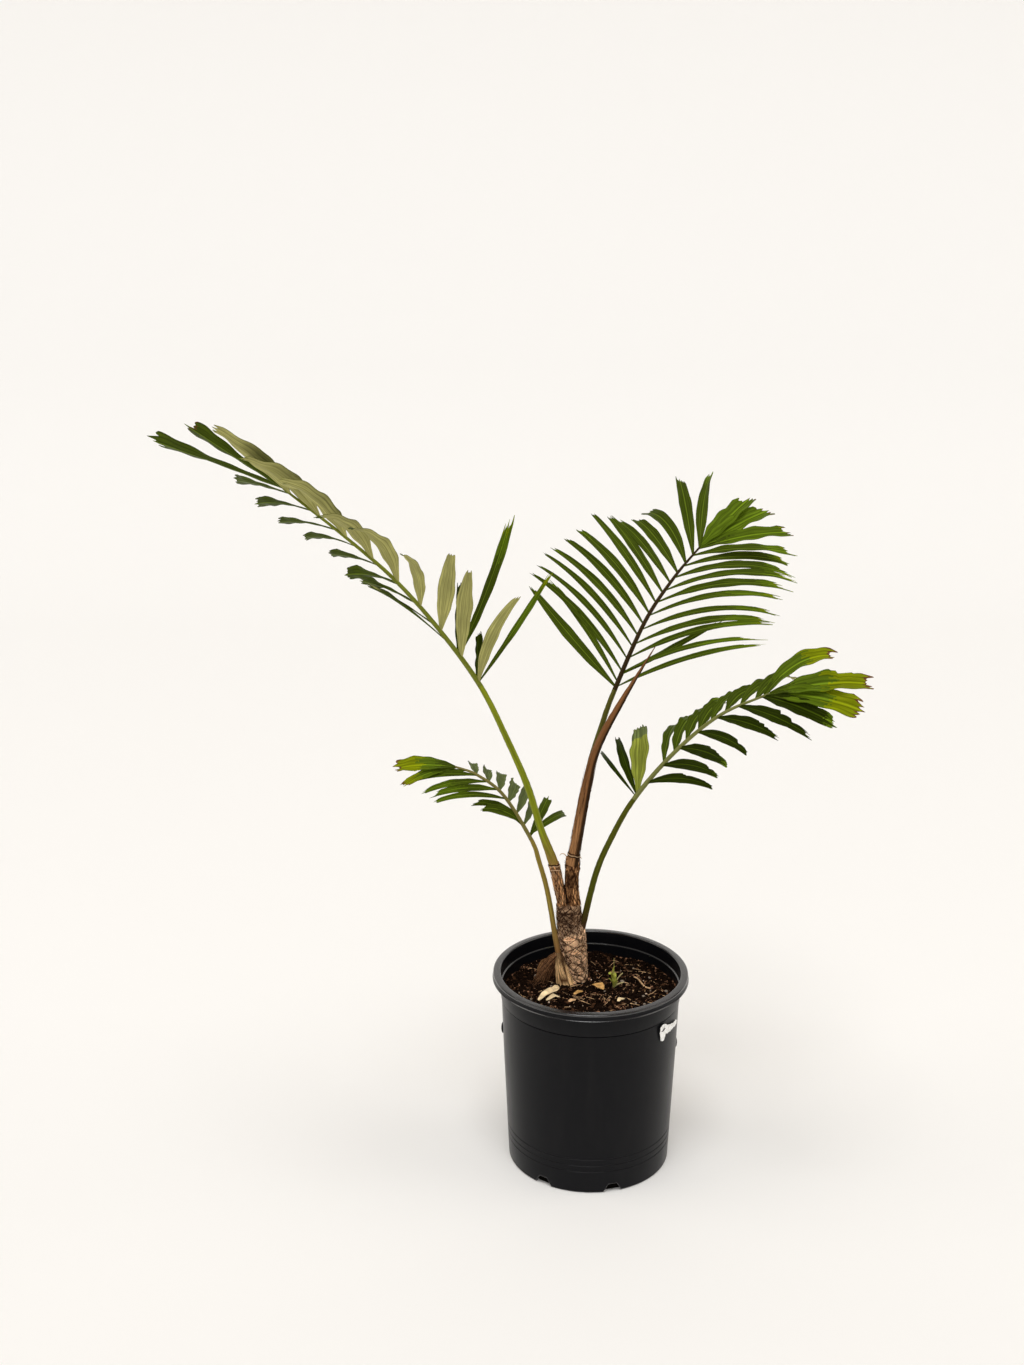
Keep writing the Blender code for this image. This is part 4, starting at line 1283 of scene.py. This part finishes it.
def fibre_tuft(rng, apex, count):
    """Loose fibres that fall from the fan's top to the mix, to its left and back."""
    tuft = []
    steps = np.linspace(0, 1, 9)
    for _ in range(count):
        way, far = rng.uniform(math.radians(95), math.radians(205)), rng.uniform(0.012, 0.036)
        foot = apex + (far * math.cos(way), far * math.sin(way), 0)
        foot[2] = SOIL_LEVEL + rng.uniform(0.000, 0.004)
        line = straight(apex, foot, steps)
        line[:, 2] += rng.uniform(0.001, 0.010) * np.sin(np.pi * steps)
        line += 0.0009 * rng.standard_normal((1, 3)) * np.sin(5 * steps)[:, None]
        tuft.append((line, rng.uniform(0.00022, 0.00055) * (1.1 - 0.7 * steps)))
    return tuft


class PALM_OT_sheaths(bpy.types.Operator):
    """Wrap the leaf bases round the fork: two tall ones and the low ribbed fan"""

    bl_idname = "palm.sheaths"
    bl_label = "Leaf bases"

    def execute(self, context):
        rng = np.random.default_rng(17)
        dark, light = (0.034, 0.010, 0.004), (0.88, 0.450, 0.195)
        bark = bark_finish("leaf base", dark, light, 0.9, 1.0, (-62, 74), (46, 210), 0.18)
        # The right leaf base is a darker copy, with a dark band from 0.026 to 0.046 up it.
        dark_banded_base = bark_finish("right leaf base", dark, shade(light, 0.84), 0.026, 0.046,
            (-66, 71), (44, 200), 0.19)
        fan_skin = bark_finish("ribbed fan", (0.085, 0.032, 0.011), (0.90, 0.580, 0.285), 0.034, 0.060,
            (-86, 88), (9, 120), 0.055)
        scar_pale = speckled("scar edge", (0.66, 0.44, 0.26), 0.8, 300)
        scar_dark = speckled("scar shadow", (0.030, 0.013, 0.007), 0.9, 300)
        hair_pale = speckled("pale hair", (0.56, 0.36, 0.20), 0.8, 300)
        hair_dark = speckled("dark hair", (0.075, 0.033, 0.016), 0.9, 300)
        hair_brown = speckled("brown hair", (0.30, 0.150, 0.072), 0.9, 300)

        left = Path(LEFT_TALL)
        top = left.marks[FRONDS["left_tall"]["foot"]]
        relief = bark_relief(0.0005, [(0.020, 0.002, 0.5), (0.046, 0.003, 2.0)], 8.0, 0.0007)
        hair = matted(rng, left, 120, (0.0, top * 0.8), (0.12, -0.14), (0.008, 0.022), 0.0008, 0.00022, 0.002)
        settle(joined("left leaf base", [
            dress(tube(left, 0.0, top, 130, 72, relief, lead=0.002), bark),
            wires(hair, 3, hair_pale),
            *scar_rings(left, 0.0030, [
                (top - 0.0020, 0.0004, 0.0007, scar_dark), (top - 0.0038, 0.0008, 0.0006, scar_pale)]),
            *scar_rings(left, 0.0035, [(top - 0.0100, 0.0006, 0.0005, scar_pale)]),
        ]), "bark", "sheath_left_tall")

        right = Path(RIGHT_SHEATH)
        scar = right.length - 0.012
        relief = bark_relief(0.0006, [(0.024, 0.002, 0.5), (scar, 0.0012, 2.0)], 4.0, 0.0011)
        hair = matted(rng, right, 170, (0.0, scar), (0.2, -0.25, 0.4), (0.008, 0.022), 0.0006, 0.00022, 0.002)
        collar = matted(rng, right, 160, (scar - 0.002, scar + 0.004), (0.3, -0.3), (0.002, 0.009),
            0.0010, 0.00020, 0.002)
        settle(joined("right leaf base", [
            dress(tube(right, 0.0, right.length, 130, 96, relief, 1.4, 0.002), dark_banded_base),
            wires([fork_crack(left, right)], 6, scar_dark),
            wires(hair, 3, hair_pale),
            wires(collar, 3, hair_dark),
        ]), "bark", "sheath_right_tall")

        low = Path(LEFT_LOW)
        top = low.marks[FRONDS["left_low"]["foot"]]
        hair = matted(rng, low, 90, (0.0, 0.034), (0.2, -0.2), (0.006, 0.020), 0.0010, 0.00024, 0.003,
            (0.5 * np.pi, 1.7 * np.pi))
        tuft = fibre_tuft(rng, low.at(top - 0.002)[0], 260)
        half = len(tuft) // 2
        flap = over_soil([(-0.0675, 0.0510, 0.002), (-0.0600, 0.0450, 0.012), (-0.0520, 0.0385, 0.020),
            (-0.0470, 0.0350, 0.026)])
        settle(joined("ribbed fan", [
            dress(tube(low, 0.0, top, 120, 110, fan_relief, 0.7, 0.001), fan_skin),
            wires(hair, 3, hair_dark),
            wires(tuft[:half], 4, hair_dark),
            wires(tuft[half:], 4, hair_brown),
            blade(flap, 0.018, 0.0008, bark, 0.25, 30, 14, 0.9),
        ]), "bark", "sheath_left_low")
        return {"FINISHED"}


# ---------------------------------------------------------------- stalks and leaves


class PalmLeaves(bpy.types.PropertyGroup):
    dark: tint("Shaded leaf", "Colour of the darkest leaflets", (0.028, 0.044, 0.002))
    green: tint("Leaf", "Colour of most leaflets", (0.073, 0.107, 0.008))
    bright: tint("Fresh leaf", "Colour of the lighter leaflets", (0.124, 0.194, 0.010))
    young: tint("Young leaf", "Yellow-green of the newest blades", (0.260, 0.310, 0.005))
    dry: tint("Dry tip", "Colour of scorched tips", (0.200, 0.095, 0.030))
    under: tint("Underside", "Silvery olive of the leaflets' backs", (0.520, 0.500, 0.170))
    thickness: measure("Blade thickness", "Thickness of a leaflet", 0.00045)
    fold: amount("Fold", "How far a leaflet's margins are raised, as a share of half its width", 0.34)


DARK, GREEN, BRIGHT, YOUNG, DRY = range(5)

# A leaflet's outline as (share of its length, share of its width), up to its last key at the end.
BLADE = [(0.0, 0.13), (0.10, 0.36), (0.28, 0.80), (0.55, 1.0), (0.80, 0.5)]
FISHTAIL = [(0.0, 0.20), (0.30, 0.42), (0.60, 0.74), (0.85, 1.10), (0.92, 0.56)]
SPOON = [(0.0, 0.20), (0.30, 0.34), (0.52, 0.55), (0.72, 1.10), (0.88, 0.52)]
NEVER = 2.0


class Look(NamedTuple):
    """How a leaflet looks.

    fresh, young and dry are where along it those colours start, and bite is how deeply its
    shorter margin is bitten in steps. The last field is where the shaded leaf colour starts, which is
    painted shade. On the near leaflets of the right fronds, the lighter fresh tips are partly painted
    sheen. flip turns its back up. broad scales its width, and wider adds to that towards the frond's
    tip. longer is 1 where its longer margin is the one away from that tip, and -1 where it is the
    other. blunt is how bluntly it ends.
    """

    base: int
    fresh: float = NEVER
    young: float = NEVER
    dry: float = NEVER
    bite: float = 0.0
    flip: bool = False
    broad: float = 1.0
    wider: float = 0.0
    form: list = BLADE
    longer: int = 1
    blunt: float = 1.35
    shaded_from: float = NEVER


LOOKS = {
    "left_tall": {
        "near": Look(GREEN, wider=0.5, blunt=0.75),
        "far": Look(GREEN, bite=0.15, flip=True, form=SPOON, broad=1.25),
        "single": [
            Look(GREEN, 0.40, 0.86), Look(DARK), Look(GREEN, 0.55, 0.95), Look(DARK),
            Look(GREEN, bite=0.05, flip=True, longer=-1, broad=1.25, form=FISHTAIL),
            Look(GREEN, dry=0.995, bite=0.05, flip=True, longer=-1, broad=1.25, form=FISHTAIL)],
    },
    "right_tall": {
        # These leaflets' lighter fresh tips also stand for painted sheen.
        "near": Look(GREEN, 1.05, bite=0.05, broad=0.72, wider=0.28),
        "far": Look(GREEN, 0.62, 0.97, bite=0.15, broad=0.80, wider=0.30),
        "single": [
            Look(GREEN), Look(GREEN, 0.6), Look(GREEN), Look(GREEN, 0.9, bite=0.1),
            Look(BRIGHT, dry=1.0, bite=0.15, broad=1.35), Look(BRIGHT, dry=0.99, bite=0.15, broad=1.35),
            Look(GREEN, 0.25, 1.02, 0.99, 0.2, broad=1.15)],
    },
    "right_low": {
        # These leaflets' lighter fresh tips also stand for painted sheen.
        "near": Look(GREEN, 0.85, bite=0.15, broad=1.3),
        "far": Look(DARK, 0.92, bite=0.95, wider=0.15),
        "single": [
            Look(DARK), Look(DARK), Look(YOUNG, broad=1.3, flip=True, shaded_from=0.70),
            Look(GREEN, 0.20, 0.60, 0.94, 0.3, broad=1.3), Look(GREEN, 0.22, 0.56, 0.96, 0.45, broad=1.4),
            Look(GREEN, 0.16, 0.58, 0.95, 0.35, broad=1.4)],
    },
    "left_low": {
        "near": Look(GREEN, 0.50, bite=0.2, broad=0.85),
        "far": Look(DARK, bite=0.3, flip=True, broad=1.15),
        "single": [
            Look(GREEN, bite=0.1), Look(GREEN), Look(GREEN), Look(GREEN),
            Look(GREEN, 0.22, 0.52, 0.95, 0.5, longer=-1, broad=1.1),
            Look(GREEN, 0.35, 0.66, 0.97, 0.4, longer=-1)],
    },
}

# Each frond's rib and stalk: colours at the foot and the top of the stalk, where they change over,
# and the rib's colour.
STALKS = {
    "left_tall": ((0.310, 0.175, 0.052), (0.225, 0.262, 0.012), 0.060, 0.120, (0.165, 0.190, 0.022)),
    "right_tall": ((0.150, 0.075, 0.030), (0.085, 0.082, 0.014), 0.04, 0.10, (0.032, 0.018, 0.007)),
    "right_low": ((0.075, 0.032, 0.020), (0.078, 0.085, 0.006), 0.01, 0.06, (0.190, 0.200, 0.060)),
    "left_low": ((0.260, 0.130, 0.050), (0.270, 0.200, 0.040), 0.05, 0.11, (0.190, 0.165, 0.050)),
}

# How much each of a leaflet's values may vary either way.
VARIED = (0.004, 1.5, 2.5, 0.004, 6, 3.5, 16, 0, 0.06)


def turn(first, second, angle):
    """Two directions at right angles turned in their plane, the first towards the second."""
    cosine, sine = math.cos(angle), math.sin(angle)
    return first * cosine + second * sine, second * cosine - first * sine


def leaflet_line(path, start, span, face, side, leaf):
    """A leaflet's centre line, with the width and upper-side directions at each point of it."""
    place, spread, lift, length, arch, sweep, twist = leaf[:7]
    distance = start + RIB_LEAD + (span - RIB_LEAD) * place
    foot, along = path.at(distance)[0], path.direction(distance)
    looks = unit(np.array(face[0])) * (1 - place) + unit(np.array(face[1])) * place
    looks = unit(looks - along * looks.dot(along))
    outward = np.cross(along, looks) * side
    spread, lift = math.radians(spread), math.radians(lift)
    heading = along * math.cos(spread)
    heading = heading + (outward * math.cos(lift) + looks * math.sin(lift)) * math.sin(spread)
    width = unit(along - heading * along.dot(heading))
    upper = np.cross(heading, width) * side
    line = [(foot, width, upper)]
    for part in np.radians(np.diff((np.arange(LINE_STEPS + 1) / LINE_STEPS) ** BEND_GROWTH)):
        heading, upper = turn(heading, upper, -arch * part)
        heading, width = turn(heading, width, sweep * part)
        width, upper = turn(width, upper, twist * part)
        foot = foot + heading * length / LINE_STEPS
        line.append((foot, width, upper))
    return line


def leaves_of(frond, looks):
    """Every leaflet of a frond as (side, values, look)."""
    found = []
    rng = np.random.default_rng(len(frond["limb"]) * 7 + frond["near"][0])
    for name, side in SIDES.items():
        count, keys = frond[name]
        for place in np.linspace(keys[0][0], keys[-1][0], count):
            values = np.array((place, *between(keys, place)))
            values += rng.uniform(-1, 1, len(VARIED)) * VARIED
            values[7] *= rng.uniform(0.84, 1.14)
            values[0], values[8] = np.clip(values[0], 0, 1), np.clip(values[8], 0.1, 0.98)
            found.append((side, values, looks[name]))
    for (name, values), look in zip(frond["single"], looks["single"]):
        found.append((SIDES[name], values, look))
    return found


COLUMNS = 16
ROWS = 46

# Heights of the ripples along a blade's margins, its slower waver and its pleats.
RIPPLE = 0.0007
WAVER = 0.0008
PLEAT = 0.00022
PLEATS = 5.5

# Half widths from which ripples and pleats have their full height.
RIPPLED_FROM = 0.008
PLEATED_FROM = 0.006


def leaflet(line, side, leaf, look, fold, rng):
    """One pleated blade: a pointed or jagged end, its margin bitten, and its shades dealt by row."""
    length, end = leaf[3], min(0.12 + look.blunt * leaf[8], 1.0)
    width = leaf[7] * (look.broad + look.wider * leaf[0])
    # Where a fresh tip starts varies by leaflet; on near leaflets of the right fronds these lighter tips are
    # partly painted sheen.
    fresh_and_sheen_from = look.fresh + rng.uniform(-0.12, 0.25) if look.fresh > 0.5 else look.fresh
    last_place, last_width = look.form[-1]
    keys = [*look.form[:-1], (last_place, (1 + end) * last_width), (1.0, end)]
    centres, widths, uppers = (np.array(rows) for rows in zip(*line))
    reach = np.linspace(0, 1, len(line))
    phase, wobble = rng.uniform(0, 6.28, 4), rng.uniform(0.6, 1.3)
    teeth = rng.uniform(0.1, 1.0, 24)
    tooth_count, tooth_depth, slant = (5, 0.13, 0.11) if end >= 0.5 else (3, 0.05, 0.05)
    slant *= rng.uniform(0.6, 1.3)
    bites = np.sort(rng.uniform(0.55, 0.95, 4))

    def place(u, v):
        u = 1 - u if look.flip else u
        c = 2 * u - 1
        spot = u * tooth_count
        which = np.clip(spot.astype(int), 0, tooth_count - 1)
        saw = teeth[which] * np.clip(1 - np.abs(2 * (spot - which) - 1), 0, 1) ** 0.6
        tipward = -side * c * look.longer
        short = slant * (0.5 + 0.5 * tipward) + tooth_depth * (1 - saw)
        s = v * (1 - short * np.clip((v - 0.55) / 0.45, 0, 1) ** 1.2) + 0.5 * tooth_depth * v
        beyond = np.clip(s - 1, 0, None)[:, None] * length * unit(centres[-1] - centres[-2])
        across, above = unit(read_off(s, reach, widths)) * -side, unit(read_off(s, reach, uppers))
        half = width / 2 * between(keys, s)[:, 0]
        stairs = sum(np.where(s > at, 1.0 - np.clip((s - at) / 0.16, 0, 0.45), 0.0) for at in bites) / 4
        grown = half * (1 - np.where(tipward > 0, 0.9, 0.15) * look.bite * stairs)
        wave = RIPPLE * wobble * np.sin(24 * s + phase[0] + 1.6 * c) * np.abs(c)
        wave = (wave + WAVER * np.sin(9 * s + phase[1]) * c) * half / RIPPLED_FROM
        pleats = PLEAT * np.cos(c * PLEATS * np.pi) * np.minimum(half / PLEATED_FROM, 1)
        lifted = fold * (np.abs(c) ** 1.3 * grown - 0.35 * half) + wave * np.minimum(s * 6, 1) + pleats
        centre = read_off(s, reach, centres) + beyond
        return centre + across * (c * grown)[:, None] + above * lifted[:, None]

    piece, u, v = sheet(COLUMNS, ROWS, place)
    starts = np.array([polygon.vertices[:] for polygon in piece.data.polygons])
    along, across = v[starts].mean(1), u[starts].mean(1)
    streak = rng.uniform(-0.10, 0.10, COLUMNS)[np.clip((across * COLUMNS).astype(int), 0, COLUMNS - 1)]
    streak = streak + rng.uniform(-0.03, 0.03, len(starts))
    edge = 0.03 * (np.abs(2 * across - 1) > 0.85)
    tone = np.full(len(starts), look.base)
    tone[along + streak > fresh_and_sheen_from] = max(min(look.base + 1, YOUNG), BRIGHT)
    tone[along + streak > look.young] = YOUNG
    # Towards the end set by the look's last field, the leaflet takes the shaded leaf colour: painted shade.
    tone[along + 0.2 * streak > look.shaded_from] = DARK
    tone[along + 0.35 * streak + edge > look.dry] = DRY
    set_map(piece.data, u, v * length + rng.uniform(0, 40))
    return piece, tone.astype(np.int32)


def rib_relief(angle, distance, spots):
    return 0.00018 * np.sin(7 * angle) + 0.00012 * bumps(spots, 400)


class PALM_OT_fronds(bpy.types.Operator):
    """Grow the four fronds: a rib with pleated leaflets on both sides"""

    bl_idname = "palm.fronds"
    bl_label = "Fronds"

    def execute(self, context):
        leaves = context.scene.palm_leaves
        skins = [leaf_finish(name, colour, shade(colour, vein), roughness)
            for name, colour, vein, roughness in (
                ("shaded leaf", leaves.dark, 1.9, 0.36), ("leaf", leaves.green, 1.7, 0.36),
                ("fresh leaf", leaves.bright, 1.5, 0.40), ("young leaf", leaves.young, 1.2, 0.45),
                ("dry tip", leaves.dry, 0.6, 0.7), ("shaded back", (0.150, 0.190, 0.060), 0.62, 0.55),
                ("back", leaves.under, 0.62, 0.55), ("fresh back", shade(leaves.under, 1.1), 0.62, 0.55),
                ("young back", (0.30, 0.34, 0.05), 0.62, 0.55), ("dry back", (0.26, 0.15, 0.06), 0.62, 0.55))]
        for order, (name, frond) in enumerate(FRONDS.items()):
            rng = np.random.default_rng(100 + order)
            path = Path(frond["limb"])
            start = path.marks[frond["rib"]]
            parts = []
            for side, values, look in leaves_of(frond, LOOKS[name]):
                line = leaflet_line(path, start, path.length - start, frond["face"], side, values)
                piece, tones = leaflet(line, side, values, look, leaves.fold, rng)
                dress(piece, *skins)
                piece.data.polygons.foreach_set("material_index", tones)
                parts.append(piece)
            blades = joined("blades", parts)
            thicken(blades, leaves.thickness, len(skins) // 2)
            smooth(blades, 45)
            rib_colour, plain_name = STALKS[name][4], name.replace("_", " ")
            rib = tube(path, start, path.length, 150, 20, rib_relief)
            dress(rib, stalk_finish("rib " + plain_name, rib_colour, shade(rib_colour, 1.1), 0.0, 0.5))
            settle(joined("leafy " + name, [blades, rib]), "leaf", "frond_" + name)
        return {"FINISHED"}


def stalk_relief(angle, distance, spots):
    """One groove and fine ribs."""
    groove = -0.0004 * np.exp(-((np.cos(angle / 2 - 0.8) ** 2) / 0.02))
    return groove + 0.00022 * bumps(spots, 160) + 0.00014 * np.sin(9 * angle + 30 * distance)


class PALM_OT_petioles(bpy.types.Operator):
    """Draw the four stalks from the leaf bases up to the fronds"""

    bl_idname = "palm.petioles"
    bl_label = "Stalks"

    def execute(self, context):
        for name, frond in FRONDS.items():
            path = Path(frond["limb"])
            plain_name = "stalk " + name.replace("_", " ")
            stalk = tube(path, path.marks[frond["foot"]], path.marks[frond["rib"]], 240, 36, stalk_relief)
            dress(named(stalk, plain_name), stalk_finish(plain_name, *STALKS[name][:4], 0.40))
            settle(stalk, "stalk", "petiole_" + name)
        return {"FINISHED"}


# Loose ends of fibre at the foot of the spear leaf, as points from the soil and their radii.
CURLED_FIBRES = [
    ([(-0.0320, 0.0230, 0.1800), (-0.0350, 0.0225, 0.1835), (-0.0385, 0.0220, 0.1840),
        (-0.0410, 0.0215, 0.1815)], (0.0007, 0.0006, 0.0005, 0.0002)),
    ([(-0.0155, 0.0230, 0.1770), (-0.0135, 0.0225, 0.1790), (-0.0125, 0.0220, 0.1765)],
        (0.0008, 0.0006, 0.0003)),
]


class PALM_OT_spear(bpy.types.Operator):
    """Roll the unopened spear leaf that stands at the fork"""

    bl_idname = "palm.spear"
    bl_label = "Spear leaf"

    def execute(self, context):
        path = Path(SPEAR)

        def relief(angle, distance, spots):
            share = distance / path.length
            folds = 0.0009 * np.abs(np.sin(3 * angle + 9 * share)) * np.clip(1.25 - share, 0, 1)
            edge = -0.0016 * np.exp(-((np.mod(angle + 0.9, FULL_TURN) - 1.0) ** 2) / 0.05) * (1 - share)
            return folds + edge + 0.00035 * bumps(spots, 140) - 0.0005

        spear = tube(path, 0.0, path.length, 300, 84, relief, lead=0.006)
        # The spear's right side, from 0.26 to 0.82 round its map, is darkened with painted shade.
        dress(spear, stalk_finish("spear skin", (0.370, 0.180, 0.074), (0.195, 0.082, 0.030), 0.03, 0.13,
            0.55, (0.26, 0.82, 0.97)))
        hair = matted(np.random.default_rng(31), path, 130, (0.0, 0.12), (0.06, -0.05), (0.010, 0.040),
            0.0007, 0.00022, 0.001)
        pale = speckled("scar edge", (0.62, 0.42, 0.24), 0.8, 300)
        dark = speckled("scar shadow", (0.035, 0.015, 0.008), 0.9, 300)
        settle(joined("rolled spear", [
            spear,
            wires(hair, 3, speckled("spear fibre", (0.085, 0.038, 0.018), 0.85, 300)),
            *scar_rings(path, 0.0006, [(0.0062, 0.0004, 0.0008, dark), (0.0078, 0.0009, 0.0005, pale),
                (0.0096, 0.0004, 0.0006, dark)]),
            wires([(over_soil(line), np.array(radii)) for line, radii in CURLED_FIBRES], 6, pale),
        ]), "spear", "spear_leaf")
        return {"FINISHED"}


# ---------------------------------------------------------------- stage


class PalmStage(bpy.types.PropertyGroup):
    floor: tint("Floor", "Colour of the floor and backdrop", (0.940, 0.933, 0.919))
    sky: amount("Room light", "Strength of the even room light", 0.30)
    key: amount("Key light", "Strength of the high light over the plant", 1.27)
    side: amount("Side lights", "Strength of each side light", 0.50)
    front: amount("Front light", "Strength of the front fill, which throws no shadow", 0.64)


def soft_light(name, azimuth, elevation, strength, spread, colour):
    """A far soft light. Azimuth is from the front towards +X, and both angles are in degrees."""
    light = bpy.data.lights.new(name, "SUN")
    light.energy, light.angle, light.color = strength, math.radians(spread), colour
    lamp = bpy.data.objects.new(name, light)
    turn, rise = math.radians(azimuth), math.radians(elevation)
    place = Vector((math.sin(turn) * math.cos(rise), -math.cos(turn) * math.cos(rise), math.sin(rise)))
    lamp.rotation_euler = (-place).to_track_quat("-Z", "Y").to_euler()
    lamp.location = place * 3
    bpy.context.scene.collection.objects.link(lamp)
    return lamp


class PALM_OT_stage(bpy.types.Operator):
    """Set the pale floor, the soft lights and the camera"""

    bl_idname = "palm.stage"
    bl_label = "Studio"

    def execute(self, context):
        scene, look = context.scene, context.scene.palm_stage

        def place(u, v):
            run, flat, radius = 13.0 * v, 6.0, 3.0
            bent = np.clip((run - flat) / radius, 0, math.pi / 2)
            y = -3.5 + np.minimum(run, flat) + radius * np.sin(bent)
            z = radius * (1 - np.cos(bent)) + np.clip(run - flat - radius * math.pi / 2, 0, None)
            return np.stack([(u - 0.5) * 16, y, z - 0.0004], 1)

        floor, _, _ = sheet(4, 90, place)
        smooth(named(floor, "studio floor"), 60)
        cream = Finish("studio floor", look.floor, 0.9, 0.5)
        tone = cream.mix(cream.span(cream.part("Object", 1), 0.4, 2.6), look.floor, shade(look.floor, 0.905))
        wall = cream.span(cream.part("Object", 2), 0.5, 2.4)
        feed(cream.shader, {"Base Color": cream.mix(wall, tone, shade(look.floor, 1.065))})
        dress(floor, cream.made)

        scene.world = bpy.data.worlds.new("Studio")
        scene.world.use_nodes = True
        sky = {"Color": (1.0, 0.915, 0.825, 1), "Strength": look.sky}
        feed(scene.world.node_tree.nodes["Background"], sky)
        soft_light("key", -8, 70, look.key, 30, (0.985, 0.995, 1.0))
        soft_light("left side", -90, 40, look.side * 1.08, 40, (1.0, 0.95, 0.89))
        soft_light("right side", 90, 40, look.side * 0.92, 40, (1.0, 0.95, 0.89))
        fill = soft_light("front", 0, 35, look.front, 50, (1.0, 1.0, 1.0))
        fill.visible_glossy = fill.data.use_shadow = False

        lens = bpy.data.cameras.new("view")
        lens.lens, lens.sensor_width = CAMERA_LENS, 36
        camera = bpy.data.objects.new("view", lens)
        camera.location = CAMERA_PLACE
        camera.rotation_euler = (math.radians(90 - CAMERA_DOWN), 0, 0)
        scene.collection.objects.link(camera)
        scene.camera = camera
        scene.view_settings.view_transform = "Standard"
        return {"FINISHED"}


class PALM_PT_panel(bpy.types.Panel):
    """Lists the palm's pieces in the order in which they are made"""

    bl_idname = "PALM_PT_panel"
    bl_label = "Potted palm"
    bl_space_type = "VIEW_3D"
    bl_region_type = "UI"
    bl_category = "Palm"

    def draw(self, context):
        for group_name in GROUPS:
            box = self.layout.box()
            settings = getattr(context.scene, group_name)
            for key in settings.__annotations__:
                box.prop(settings, key)
        for operator in OPERATORS:
            self.layout.operator(operator.bl_idname)


GROUPS = {
    "palm_stage": PalmStage, "palm_pot": PalmPot, "palm_soil": PalmSoil, "palm_bark": PalmBark,
    "palm_leaves": PalmLeaves,
}
OPERATORS = [
    PALM_OT_stage, PALM_OT_pot, PALM_OT_tag, PALM_OT_soil, PALM_OT_litter, PALM_OT_trunk,
    PALM_OT_sheaths, PALM_OT_petioles, PALM_OT_fronds, PALM_OT_spear,
]


def register():
    for shape in (*GROUPS.values(), *OPERATORS, PALM_PT_panel):
        bpy.utils.register_class(shape)
    for name, shape in GROUPS.items():
        setattr(bpy.types.Scene, name, PointerProperty(type=shape))


def unregister():
    for name in GROUPS:
        delattr(bpy.types.Scene, name)
    for shape in reversed((*GROUPS.values(), *OPERATORS, PALM_PT_panel)):
        bpy.utils.unregister_class(shape)


def main():
    register()
    make_groups()
    bpy.ops.palm.stage()
    bpy.ops.palm.pot()
    bpy.ops.palm.tag()
    bpy.ops.palm.soil()
    bpy.ops.palm.litter()
    bpy.ops.palm.trunk()
    bpy.ops.palm.sheaths()
    bpy.ops.palm.petioles()
    bpy.ops.palm.fronds()
    bpy.ops.palm.spear()


if __name__ == "__main__":
    main()
